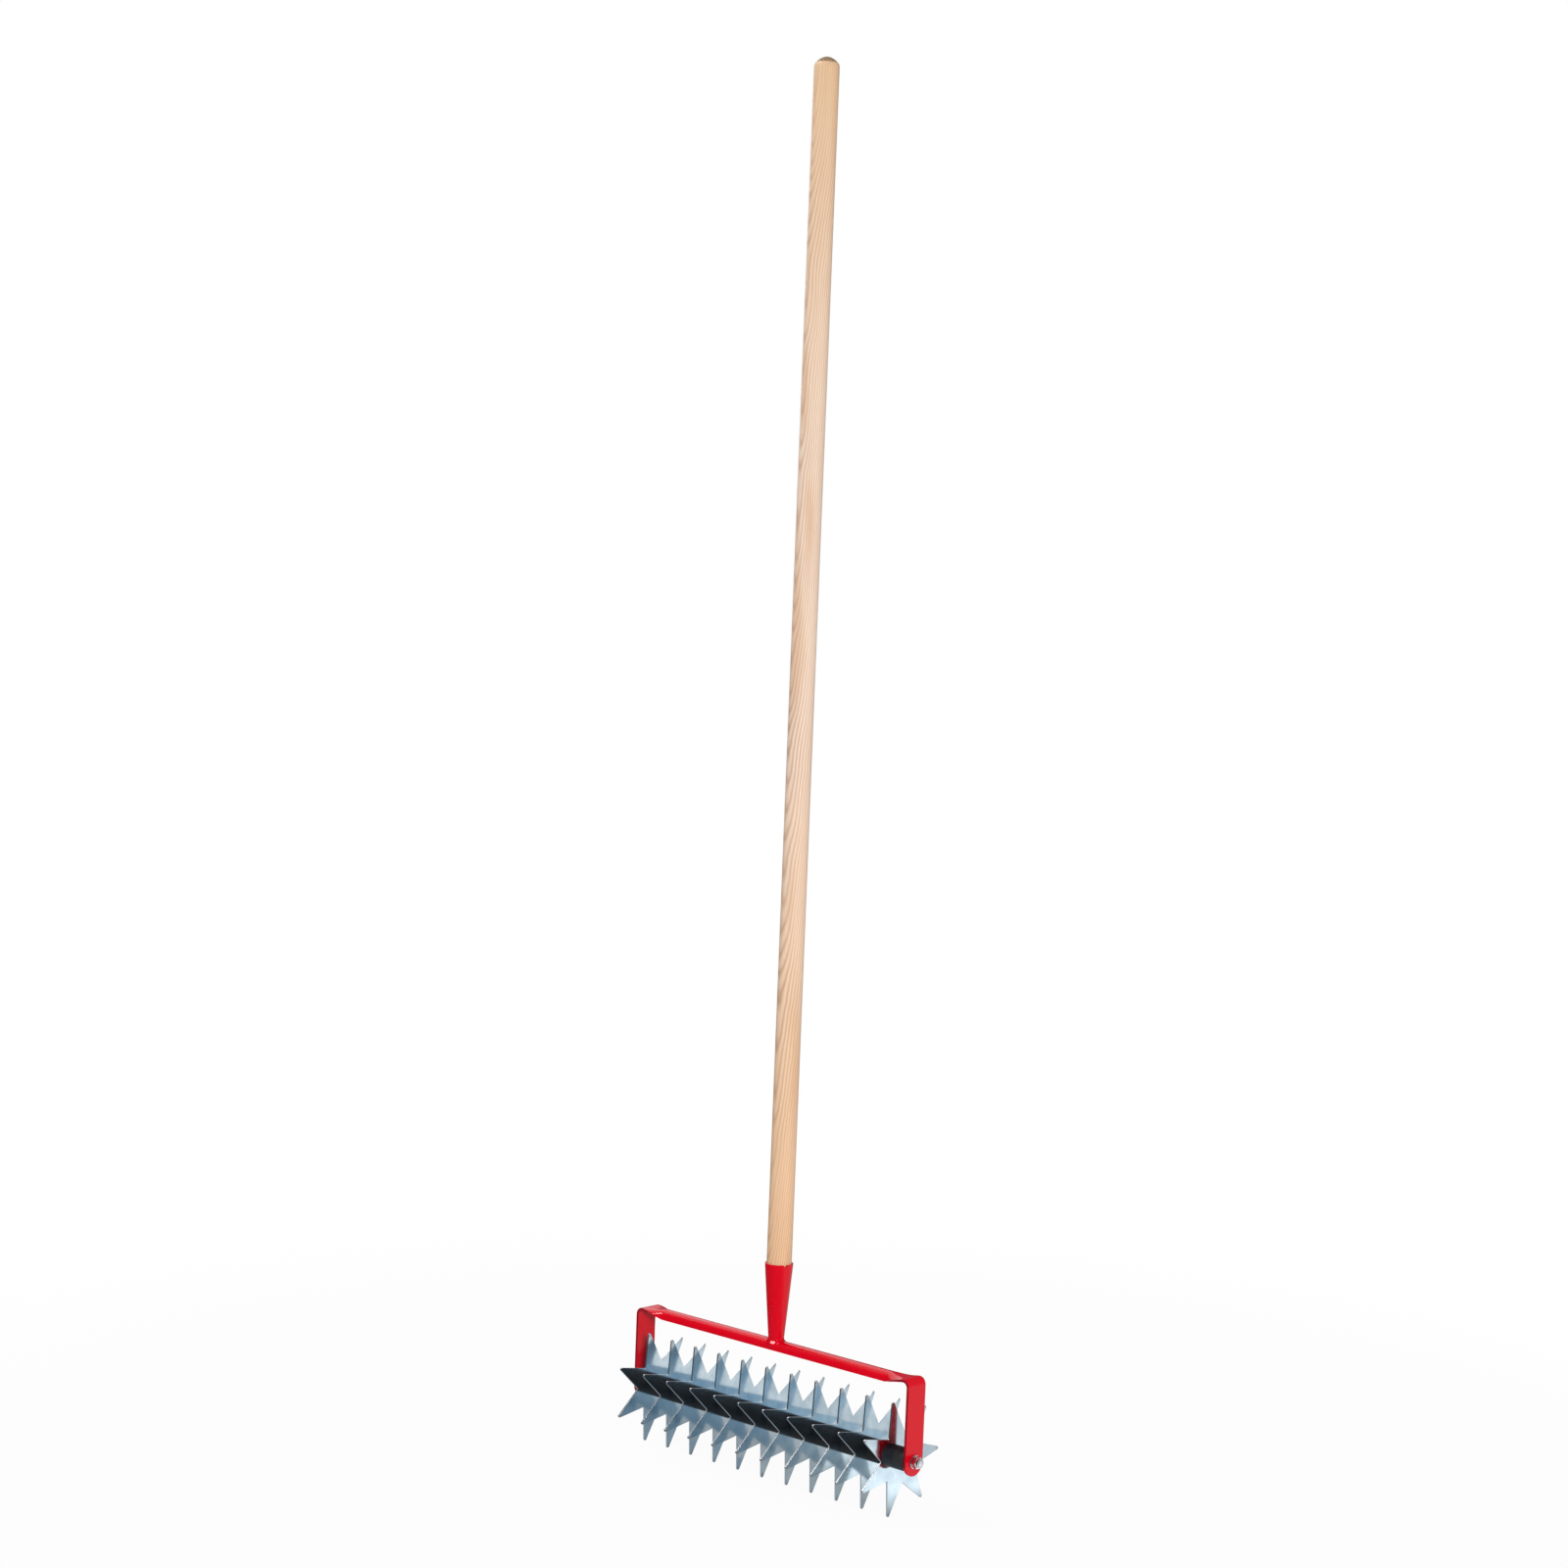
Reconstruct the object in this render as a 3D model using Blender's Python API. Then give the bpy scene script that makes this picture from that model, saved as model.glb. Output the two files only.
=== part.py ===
# Rotary cultivator: a long wooden handle in a rolled steel socket, welded on a bent steel yoke that holds
# a free-turning roller of star discs on a threaded axle.
# Lengths are in metres. X runs along the roller, Z runs up along the handle, and the origin is on the
# ground under the middle of the roller's axis. The front, from which the user pushes, is -Y.

import math

import bmesh
import bpy
from mathutils import Matrix, Vector

MM = 0.001

# Clearances
SEAT_GAP = 0.3 * MM
RUNNING_GAP = 0.3 * MM

# Star discs
DISC_COUNT = 11
DISC_PITCH = 40 * MM
DISC_THICKNESS = 2 * MM
TOOTH_COUNT = 7
TIP_RADIUS = 68.8 * MM
VALLEY_RADIUS = 31 * MM
TIP_ROUNDING = 1.9 * MM
FIRST_TOOTH_ANGLE = math.radians(153.67)

# Core of the roller
CORE_SIDE = 16 * MM
CORE_WALL = 1.5 * MM
CORE_CORNER = 1 * MM
SPACER_WALL = 2.2 * MM
END_SPACER_LENGTH = 16.2 * MM
BUSH_FLANGE = 2 * MM
BUSH_STAND_OFF = 0.3 * MM
BUSH_PLUG_LENGTH = 18 * MM

# Axle and its fasteners
AXLE_DIAMETER = 8 * MM
AXLE_END = 0.4 * MM
AXLE_CHAMFER = 0.6 * MM
WASHER_DIAMETER = 16 * MM
WASHER_THICKNESS = 1.6 * MM
NUT_ACROSS_FLATS = 13 * MM
NUT_HEX_HEIGHT = 5.6 * MM
NUT_COLLAR_HEIGHT = 2.4 * MM
NUT_COLLAR_DIAMETER = 11.6 * MM
NUT_CHAMFER = 0.5 * MM

# Yoke
STRIP_WIDTH = 30 * MM
STRIP_THICKNESS = 3 * MM
BEND_INNER_RADIUS = 5.8 * MM
ARM_END_DROP = 2 * MM
SHOULDER_DROP = 1.3 * MM
SHOULDER_LENGTH = 13 * MM
SHOULDER_FLAT = 10 * MM
TRANSITION_LENGTH = 18 * MM
CLOSING_POWER = 1.4
TROUGH_ANGLE = math.pi
TROUGH_FLAT = 2 * MM
CROSSBAR_CLEARANCE = 18.4 * MM

# Socket and weld
SOCKET_HEIGHT = 93 * MM
SOCKET_WALL = 2 * MM
SOCKET_BASE_INSET = 2.16 * MM
NOTCH_DEPTH = 3 * MM
NOTCH_WIDTH = 3.2 * MM
NOTCH_ANGLE = math.radians(-20)
WELD_THROAT = 3.6 * MM
WELD_OFFSET = 0.2 * MM

# Handle and its screw
HANDLE_DIAMETER = 30 * MM
HANDLE_LENGTH = 1500 * MM
HANDLE_INSERTION = 82 * MM
HANDLE_DOME = 14.4 * MM
HANDLE_END_CHAMFER = 1.5 * MM
SCREW_HEIGHT = 45 * MM
SCREW_DIAMETER = 3 * MM
SCREW_LENGTH = 20 * MM
SCREW_HEAD_DIAMETER = 5 * MM
SCREW_HEAD_HEIGHT = 1.2 * MM

# How finely round shapes are divided
ROUND_STEPS = 32
TIP_STEPS = 4
STRIP_SIDE_STEPS = 5
ARC_STEPS = 6

# Sizes that follow from those above
TROUGH_MID_RADIUS = (STRIP_WIDTH - TROUGH_FLAT) / TROUGH_ANGLE
TROUGH_OUTER_RADIUS = TROUGH_MID_RADIUS + STRIP_THICKNESS / 2
TROUGH_HEIGHT = TROUGH_OUTER_RADIUS
OUTER_DISC_FACE = (DISC_COUNT - 1) * DISC_PITCH / 2 + DISC_THICKNESS / 2
END_SPACER_START = OUTER_DISC_FACE + SEAT_GAP
BUSH_FACE = END_SPACER_START + END_SPACER_LENGTH + BUSH_STAND_OFF
BUSH_START = BUSH_FACE - BUSH_FLANGE
CORE_HALF_LENGTH = BUSH_START - SEAT_GAP
CORE_CORNER_REACH = math.sqrt(2) * (CORE_SIDE / 2 - CORE_CORNER) + CORE_CORNER
SPACER_BORE_RADIUS = CORE_CORNER_REACH + SEAT_GAP
SPACER_OUTER_RADIUS = SPACER_BORE_RADIUS + SPACER_WALL
INNER_WASHER_START = BUSH_FACE + RUNNING_GAP
ARM_INNER_FACE = INNER_WASHER_START + WASHER_THICKNESS + SEAT_GAP
ARM_OUTER_FACE = ARM_INNER_FACE + STRIP_THICKNESS
OUTER_WASHER_START = ARM_OUTER_FACE + SEAT_GAP
NUT_START = OUTER_WASHER_START + WASHER_THICKNESS + SEAT_GAP
NUT_HEIGHT = NUT_HEX_HEIGHT + NUT_COLLAR_HEIGHT
AXLE_HALF_LENGTH = NUT_START + NUT_HEIGHT + AXLE_END
HANDLE_RADIUS = HANDLE_DIAMETER / 2
SOCKET_RIM_RADIUS = HANDLE_RADIUS + SOCKET_WALL
SOCKET_BASE_RADIUS = TROUGH_FLAT / 2 + TROUGH_OUTER_RADIUS - SOCKET_BASE_INSET
SOCKET_SLOPE = (SOCKET_RIM_RADIUS - SOCKET_BASE_RADIUS) / SOCKET_HEIGHT


def tooth_outline():
    """The star's outline about its centre, as (y, z) points from valley to valley."""
    points = []
    centre_radius = TIP_RADIUS - TIP_ROUNDING
    half_pitch = math.pi / TOOTH_COUNT
    valley = Vector((VALLEY_RADIUS * math.cos(half_pitch), VALLEY_RADIUS * math.sin(half_pitch)))
    flank = valley - Vector((centre_radius, 0))
    # The flank is tangent to the round tip, so the tip's arc ends square to the flank.
    arc_end = math.atan2(flank.y, flank.x) - math.acos(TIP_ROUNDING / flank.length)
    for tooth in range(TOOTH_COUNT):
        turn = FIRST_TOOTH_ANGLE + tooth * 2 * half_pitch
        local = [(valley.x, -valley.y)]
        for step in range(TIP_STEPS + 1):
            angle = arc_end * (2 * step / TIP_STEPS - 1)
            local.append((centre_radius + TIP_ROUNDING * math.cos(angle), TIP_ROUNDING * math.sin(angle)))
        for along, across in local:
            points.append((
                along * math.cos(turn) - across * math.sin(turn),
                along * math.sin(turn) + across * math.cos(turn),
            ))
    return points


AXLE_HEIGHT = -min(z for y, z in tooth_outline())
CROWN = AXLE_HEIGHT + TIP_RADIUS + CROSSBAR_CLEARANCE + TROUGH_HEIGHT
SHOULDER_TOP = CROWN - SHOULDER_DROP
SOCKET_RIM = CROWN + SOCKET_HEIGHT
HANDLE_BOTTOM = SOCKET_RIM - HANDLE_INSERTION
HANDLE_TOP = HANDLE_BOTTOM + HANDLE_LENGTH


def socket_radius(height):
    """Outer radius of the socket's cone at a height above the ground."""
    return SOCKET_BASE_RADIUS + (height - CROWN) * SOCKET_SLOPE


def make_material(name, colour, roughness, metallic):
    material = bpy.data.materials.new(name)
    material.use_nodes = True
    shader = material.node_tree.nodes["Principled BSDF"]
    shader.inputs["Base Color"].default_value = (*colour, 1)
    shader.inputs["Roughness"].default_value = roughness
    shader.inputs["Metallic"].default_value = metallic
    material.diffuse_color = (*colour, 1)
    return material


def make_empty(name, height):
    empty = bpy.data.objects.new(name, None)
    empty.location = (0, 0, height)
    bpy.context.scene.collection.objects.link(empty)
    return empty


def make_mesh(name, shape, material):
    """Turns a bmesh into a mesh with one material, smooth over its round stretches."""
    bmesh.ops.recalc_face_normals(shape, faces=shape.faces)
    mesh = bpy.data.meshes.new(name)
    shape.to_mesh(mesh)
    shape.free()
    mesh.materials.append(material)
    mesh.shade_smooth()
    mesh.set_sharp_from_angle(angle=math.radians(35))
    return mesh


def place(name, mesh, parent, location=(0, 0, 0), rotation=(0, 0, 0)):
    """Adds an object; its location and rotation are counted from its parent's."""
    piece = bpy.data.objects.new(name, mesh)
    piece.parent = parent
    piece.location = location
    piece.rotation_euler = rotation
    bpy.context.scene.collection.objects.link(piece)
    return piece


def place_cutter(name, shape, material, parent, location=(0, 0, 0), rotation=(0, 0, 0)):
    cutter = place(name, make_mesh(name, shape, material), parent, location, rotation)
    cutter.hide_render = True
    cutter.display_type = "WIRE"
    return cutter


def cut(piece, cutter, operation="DIFFERENCE"):
    modifier = piece.modifiers.new(cutter.name, "BOOLEAN")
    modifier.operation = operation
    modifier.solver = "EXACT"
    modifier.object = cutter


def loop_of(shape, points):
    """A closed loop of edges through the points."""
    corners = [shape.verts.new(point) for point in points]
    return [shape.edges.new((a, b)) for a, b in zip(corners, corners[1:] + corners[:1])]


def spun(profile, steps=ROUND_STEPS):
    """A closed (radius, height) profile turned once about Z. Points on the axis are merged."""
    shape = bmesh.new()
    edges = loop_of(shape, [(radius, 0, height) for radius, height in profile])
    bmesh.ops.spin(
        shape, geom=edges, cent=(0, 0, 0), axis=(0, 0, 1), angle=2 * math.pi, steps=steps,
        use_merge=True, use_duplicate=False,
    )
    bmesh.ops.remove_doubles(shape, verts=shape.verts, dist=0.001 * MM)
    bmesh.ops.dissolve_degenerate(shape, edges=shape.edges, dist=0.001 * MM)
    # What is left of a profile's edge along the axis lies inside the solid.
    stray = [edge for edge in shape.edges if not edge.link_faces]
    bmesh.ops.delete(shape, geom=stray, context="EDGES")
    return shape


def tube(outer_radius, inner_radius, length, steps=ROUND_STEPS):
    """A tube along Z from the origin."""
    return spun(
        [(inner_radius, 0), (outer_radius, 0), (outer_radius, length), (inner_radius, length)], steps
    )


def rod(radius, length, steps=ROUND_STEPS):
    """A plain cylinder along Z from the origin."""
    shape = bmesh.new()
    bmesh.ops.create_cone(
        shape, cap_ends=True, segments=steps, radius1=radius, radius2=radius, depth=length,
        matrix=Matrix.Translation((0, 0, length / 2)),
    )
    return shape


def plate(loops, thickness):
    """A plate in the YZ plane, centred on X = 0, whose first loop is its outline and the rest its holes."""
    shape = bmesh.new()
    edges = []
    for points in loops:
        edges += loop_of(shape, [(-thickness / 2, y, z) for y, z in points])
    bmesh.ops.triangle_fill(shape, edges=edges, use_beauty=True)
    lid = bmesh.ops.extrude_face_region(shape, geom=shape.faces[:])
    moved = [item for item in lid["geom"] if isinstance(item, bmesh.types.BMVert)]
    bmesh.ops.translate(shape, verts=moved, vec=(thickness, 0, 0))
    return shape


def rounded_square(side, corner, steps=3):
    """A square with round corners, as (y, z) points."""
    points = []
    centre = side / 2 - corner
    for quarter in range(4):
        for step in range(steps + 1):
            angle = (quarter + step / steps) * math.pi / 2
            sign_y = 1 if quarter in (0, 3) else -1
            sign_z = 1 if quarter in (0, 1) else -1
            points.append((
                sign_y * centre + corner * math.cos(angle),
                sign_z * centre + corner * math.sin(angle),
            ))
    return points


def build_handle(wood, parent):
    dome = []
    for step in range(ARC_STEPS + 1):
        angle = step / ARC_STEPS * math.pi / 2
        dome.append((
            HANDLE_RADIUS * math.cos(angle),
            HANDLE_TOP - HANDLE_DOME + HANDLE_DOME * math.sin(angle),
        ))
    end_radius = socket_radius(HANDLE_BOTTOM) - SOCKET_WALL - SEAT_GAP
    taper_top = SOCKET_RIM + SEAT_GAP / SOCKET_SLOPE
    profile = [
        (0, HANDLE_BOTTOM),
        (end_radius - HANDLE_END_CHAMFER, HANDLE_BOTTOM),
        (end_radius + HANDLE_END_CHAMFER * SOCKET_SLOPE, HANDLE_BOTTOM + HANDLE_END_CHAMFER),
        (HANDLE_RADIUS, taper_top),
        *dome[:-1],
        (0, HANDLE_TOP),
    ]
    return place("handle", make_mesh("handle", spun(profile), wood), parent)


def crown_depth(across):
    """How far the trough's outer surface has dropped below its crown at a distance from its middle."""
    beyond = min(max(0, abs(across) - TROUGH_FLAT / 2), 0.95 * TROUGH_OUTER_RADIUS)
    return TROUGH_OUTER_RADIUS - math.sqrt(TROUGH_OUTER_RADIUS**2 - beyond**2)


def build_socket(enamel, parent):
    """The cone stands on the trough's crown, so it starts below it and is cut to the crown's shape."""
    bottom = CROWN - crown_depth(SOCKET_BASE_RADIUS) - SEAT_GAP
    profile = [
        (socket_radius(bottom) - SOCKET_WALL, bottom),
        (socket_radius(bottom), bottom),
        (SOCKET_RIM_RADIUS, SOCKET_RIM),
        (SOCKET_RIM_RADIUS - SOCKET_WALL, SOCKET_RIM),
    ]
    return place("socket", make_mesh("socket", spun(profile), enamel), parent)


def crown_cutter(name, material, parent):
    """A bar along X that fills the trough and clears its outer surface."""
    radius = TROUGH_OUTER_RADIUS + SEAT_GAP
    right = []
    for step in range(STRIP_SIDE_STEPS + 1):
        angle = step / STRIP_SIDE_STEPS * math.pi / 2
        right.append((
            TROUGH_FLAT / 2 + radius * math.cos(angle), radius * math.sin(angle) - TROUGH_OUTER_RADIUS,
        ))
    left = [(-y, z) for y, z in reversed(right)]
    shape = plate([right + left], 4 * SOCKET_RIM_RADIUS)
    return place_cutter(name, shape, material, parent, location=(0, 0, CROWN))


def cone_cutter(name, material, parent):
    """The socket's cone, filled, with a clearance round it."""
    bottom = CROWN - TROUGH_OUTER_RADIUS
    middle = CROWN + SOCKET_HEIGHT / 2
    profile = [
        (0, bottom),
        (socket_radius(bottom) + SEAT_GAP, bottom),
        (socket_radius(middle) + SEAT_GAP, middle),
        (0, middle),
    ]
    return place_cutter(name, spun(profile), material, parent)


def notch_cutter(name, material, parent):
    """A wedge across the rim, point down, that reaches through one wall only."""
    depth = NOTCH_DEPTH
    half = NOTCH_WIDTH / 2
    rise = 1 * MM
    wide = half * (depth + rise) / depth
    shape = plate([[(0, -depth), (wide, rise), (-wide, rise)]], 6 * SOCKET_WALL)
    return place_cutter(
        name, shape, material, parent,
        location=(
            SOCKET_RIM_RADIUS * math.cos(NOTCH_ANGLE),
            SOCKET_RIM_RADIUS * math.sin(NOTCH_ANGLE),
            SOCKET_RIM,
        ),
        rotation=(0, 0, NOTCH_ANGLE),
    )


def build_weld(enamel, parent):
    """A bead that follows the line where the cone meets the crown."""
    shape = bmesh.new()
    ring_radius = SOCKET_BASE_RADIUS + WELD_OFFSET
    rings = []
    for step in range(ROUND_STEPS):
        angle = step / ROUND_STEPS * 2 * math.pi
        outward = Vector((math.cos(angle), math.sin(angle), 0))
        centre = outward * ring_radius
        centre.z = CROWN - crown_depth(centre.y)
        ring = []
        for part in range(2 * ARC_STEPS):
            around = part / (2 * ARC_STEPS) * 2 * math.pi
            offset = outward * math.cos(around) + Vector((0, 0, math.sin(around)))
            ring.append(shape.verts.new(centre + offset * WELD_THROAT))
        rings.append(ring)
    join_rings(shape, rings, closed=True)
    return place("socket_weld", make_mesh("socket_weld", shape, enamel), parent)


def join_rings(shape, rings, closed=False):
    """Faces between neighbouring rings of corners, with caps unless the last ring meets the first."""
    pairs = list(zip(rings, rings[1:]))
    if closed:
        pairs.append((rings[-1], rings[0]))
    else:
        shape.faces.new(rings[0])
        shape.faces.new(reversed(rings[-1]))
    for first, second in pairs:
        count = len(first)
        for corner in range(count):
            following = (corner + 1) % count
            shape.faces.new((first[corner], second[corner], second[following], first[following]))


def half_face(width, angle, flat, depth):
    """One face of the strip from its middle to an edge, as (across, depth) points: a flat stretch, and
    a side that is bent inward through half the angle."""
    points = []
    for step in range(STRIP_SIDE_STEPS + 1):
        share = step / STRIP_SIDE_STEPS
        if angle == 0:
            points.append((flat / 2 + share * (width - flat) / 2, -depth))
        else:
            outer_radius = (width - flat) / angle + STRIP_THICKNESS / 2
            radius = outer_radius - depth
            turn = share * angle / 2
            points.append((flat / 2 + radius * math.sin(turn), radius * math.cos(turn) - outer_radius))
    return points


def strip_ring(shape, point, outward, width, angle, flat):
    """One cross-section of the strip. The point lies on its outer face, at the middle of its width."""
    outer = half_face(width, angle, flat, 0)
    inner = half_face(width, angle, flat, STRIP_THICKNESS)
    section = [(-across, depth) for across, depth in reversed(outer)] + outer
    section += list(reversed(inner)) + [(-across, depth) for across, depth in inner]
    return [
        shape.verts.new((point.x + outward.x * depth, across, point.z + outward.z * depth))
        for across, depth in section
    ]


def smooth(share):
    """Eases a share from 0 to 1 in and out."""
    return share * share * (3 - 2 * share)


def yoke_stations():
    """The right half of the strip, from the arm's round end up and over to the start of the trough,
    as (point on the outer face, outward direction, width, angle of both sides together, flat)."""
    stations = []
    right = Vector((1, 0, 0))
    up = Vector((0, 0, 1))
    end_centre = AXLE_HEIGHT - ARM_END_DROP
    end_radius = STRIP_WIDTH / 2
    for step in range(ARC_STEPS + 1):
        angle = math.radians(84) * (1 - step / ARC_STEPS)
        narrowing = math.cos(angle)
        point = Vector((ARM_OUTER_FACE, 0, end_centre - end_radius * math.sin(angle)))
        stations.append((point, right, STRIP_WIDTH * narrowing, 0, SHOULDER_FLAT * narrowing))
    bend_radius = BEND_INNER_RADIUS + STRIP_THICKNESS
    bend_centre = Vector((ARM_OUTER_FACE - bend_radius, 0, SHOULDER_TOP - bend_radius))
    for step in range(ARC_STEPS + 1):
        angle = step / ARC_STEPS * math.pi / 2
        outward = right * math.cos(angle) + up * math.sin(angle)
        stations.append((bend_centre + outward * bend_radius, outward, STRIP_WIDTH, 0, SHOULDER_FLAT))
    for step in range(2 * ARC_STEPS):
        share = (step + 1) / (2 * ARC_STEPS)
        run = share * (SHOULDER_LENGTH + TRANSITION_LENGTH)
        # The sides start to close at the bend; the middle keeps its flat until the shoulder ends.
        closing = smooth(max(0, run - SHOULDER_LENGTH) / TRANSITION_LENGTH)
        point = Vector((bend_centre.x - run, 0, SHOULDER_TOP + closing * SHOULDER_DROP))
        angle = TROUGH_ANGLE * share**CLOSING_POWER
        flat = SHOULDER_FLAT + closing * (TROUGH_FLAT - SHOULDER_FLAT)
        stations.append((point, up, STRIP_WIDTH, angle, flat))
    return stations


def build_yoke(enamel, parent):
    shape = bmesh.new()
    rings = [strip_ring(shape, *station) for station in yoke_stations()]
    for point, outward, *section in reversed(yoke_stations()):
        mirrored = Vector((-point.x, 0, point.z))
        rings.append(strip_ring(shape, mirrored, Vector((-outward.x, 0, outward.z)), *section))
    join_rings(shape, rings)
    return place("yoke", make_mesh("yoke", shape, enamel), parent)


def axle_hole_cutter(name, material, parent):
    length = 2 * (ARM_OUTER_FACE + STRIP_THICKNESS)
    return place_cutter(
        name, rod(AXLE_DIAMETER / 2 + SEAT_GAP, length), material, parent,
        location=(-length / 2, 0, AXLE_HEIGHT), rotation=(0, math.pi / 2, 0),
    )


def build_axle(zinc, parent):
    radius = AXLE_DIAMETER / 2
    profile = [
        (0, -AXLE_HALF_LENGTH),
        (radius - AXLE_CHAMFER, -AXLE_HALF_LENGTH),
        (radius, AXLE_CHAMFER - AXLE_HALF_LENGTH),
        (radius, AXLE_HALF_LENGTH - AXLE_CHAMFER),
        (radius - AXLE_CHAMFER, AXLE_HALF_LENGTH),
        (0, AXLE_HALF_LENGTH),
    ]
    mesh = make_mesh("axle_rod", spun(profile, 24), zinc)
    return place("axle_rod", mesh, parent, (0, 0, AXLE_HEIGHT), (0, math.pi / 2, 0))


def polygon_ring(shape, radius, height, count):
    """A closed ring of edges about Z."""
    return loop_of(shape, [
        (radius * math.cos(k * 2 * math.pi / count), radius * math.sin(k * 2 * math.pi / count), height)
        for k in range(count)
    ])


def nut_mesh(zinc):
    """A lock nut along Z from the origin: a hexagon with its corners turned down, and a round collar."""
    corner_radius = NUT_ACROSS_FLATS / math.sqrt(3)
    bore_radius = AXLE_DIAMETER / 2 + SEAT_GAP
    collar_radius = NUT_COLLAR_DIAMETER / 2
    shape = bmesh.new()
    hexagon = [
        polygon_ring(shape, corner_radius - NUT_CHAMFER, 0, 6),
        polygon_ring(shape, corner_radius, NUT_CHAMFER, 6),
        polygon_ring(shape, corner_radius, NUT_HEX_HEIGHT - NUT_CHAMFER, 6),
        polygon_ring(shape, corner_radius - NUT_CHAMFER, NUT_HEX_HEIGHT, 6),
    ]
    round_part = [
        polygon_ring(shape, collar_radius, NUT_HEX_HEIGHT, 24),
        polygon_ring(shape, collar_radius, NUT_HEIGHT - NUT_CHAMFER, 24),
        polygon_ring(shape, collar_radius - NUT_CHAMFER, NUT_HEIGHT, 24),
        polygon_ring(shape, bore_radius, NUT_HEIGHT, 24),
        polygon_ring(shape, bore_radius, 0, 24),
    ]
    for rings in (hexagon, round_part):
        for first, second in zip(rings, rings[1:]):
            bmesh.ops.bridge_loops(shape, edges=first + second)
    bmesh.ops.triangle_fill(shape, edges=hexagon[0] + round_part[-1], use_beauty=True)
    bmesh.ops.triangle_fill(shape, edges=hexagon[-1] + round_part[0], use_beauty=True)
    return make_mesh("nut", shape, zinc)


def build_fasteners(zinc, parent):
    """Nuts and washers on both ends of the axle. The left ones are the right ones turned round."""
    nut = nut_mesh(zinc)
    bore_radius = AXLE_DIAMETER / 2 + SEAT_GAP
    washer = make_mesh("washer", tube(WASHER_DIAMETER / 2, bore_radius, WASHER_THICKNESS, 24), zinc)
    for side, name in ((1, "right"), (-1, "left")):
        facing = (0, side * math.pi / 2, 0)
        place(f"nut_{name}", nut, parent, (side * NUT_START, 0, AXLE_HEIGHT), facing)
        place(f"outer_washer_{name}", washer, parent, (side * OUTER_WASHER_START, 0, AXLE_HEIGHT), facing)
        place(f"inner_washer_{name}", washer, parent, (side * INNER_WASHER_START, 0, AXLE_HEIGHT), facing)


def build_screw(enamel, parent):
    """The enamelled screw that keeps the handle in its socket, driven from the front."""
    height = CROWN + SCREW_HEIGHT
    head_radius = SCREW_HEAD_DIAMETER / 2
    # The head lies flat against a cone, so it clears the cone where the cone is widest under it.
    seat = socket_radius(height + head_radius) + SEAT_GAP
    radius = SCREW_DIAMETER / 2
    profile = [
        (0, -SCREW_LENGTH),
        (radius, -SCREW_LENGTH + 2 * SCREW_DIAMETER),
        (radius, 0),
        (head_radius, 0),
        (head_radius, 0.4 * SCREW_HEAD_HEIGHT),
        (0.75 * head_radius, 0.85 * SCREW_HEAD_HEIGHT),
        (0, SCREW_HEAD_HEIGHT),
    ]
    mesh = make_mesh("handle_screw", spun(profile, 16), enamel)
    return place("handle_screw", mesh, parent, (0, -seat, height), (math.pi / 2, 0, 0))


def screw_hole_cutter(name, material, parent):
    """Clears the screw through the socket's front wall and into the handle."""
    height = CROWN + SCREW_HEIGHT
    start = -(socket_radius(height) + SOCKET_WALL)
    length = SCREW_LENGTH + SOCKET_WALL + SEAT_GAP
    return place_cutter(
        name, rod(SCREW_DIAMETER / 2 + SEAT_GAP, length, 16), material, parent,
        location=(0, start, height), rotation=(-math.pi / 2, 0, 0),
    )


def build_discs(zinc, roller):
    """All the discs share one mesh, and their teeth are in step."""
    hole = rounded_square(CORE_SIDE + 2 * SEAT_GAP, CORE_CORNER + SEAT_GAP)
    mesh = make_mesh("star_disc", plate([tooth_outline(), hole], DISC_THICKNESS), zinc)
    for index in range(DISC_COUNT):
        offset = (index - (DISC_COUNT - 1) / 2) * DISC_PITCH
        place(f"star_disc_{index + 1:02d}", mesh, roller, (offset, 0, 0))


def build_spacers(plastic, roller):
    """Tubes over the core's corners: one between each two discs, and one outside each outer disc."""
    # The tube's flats reach further in than its corners, by the polygon's own amount.
    bore_radius = SPACER_BORE_RADIUS / math.cos(math.pi / ROUND_STEPS)
    length = DISC_PITCH - DISC_THICKNESS - 2 * SEAT_GAP
    mesh = make_mesh("spacer", tube(SPACER_OUTER_RADIUS, bore_radius, length), plastic)
    for index in range(DISC_COUNT - 1):
        start = (index - (DISC_COUNT - 1) / 2) * DISC_PITCH + DISC_THICKNESS / 2 + SEAT_GAP
        place(f"spacer_{index + 1:02d}", mesh, roller, (start, 0, 0), (0, math.pi / 2, 0))
    end_shape = tube(SPACER_OUTER_RADIUS, bore_radius, END_SPACER_LENGTH)
    end_mesh = make_mesh("spacer_end", end_shape, plastic)
    for side, name in ((1, "right"), (-1, "left")):
        location = (side * END_SPACER_START, 0, 0)
        place(f"spacer_end_{name}", end_mesh, roller, location, (0, side * math.pi / 2, 0))


def build_core(steel, roller):
    """The square tube that carries the discs from bush to bush."""
    outer = rounded_square(CORE_SIDE, CORE_CORNER)
    inner = rounded_square(CORE_SIDE - 2 * CORE_WALL, CORE_CORNER / 2)
    place("core_tube", make_mesh("core_tube", plate([outer, inner], 2 * CORE_HALF_LENGTH), steel), roller)


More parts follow.
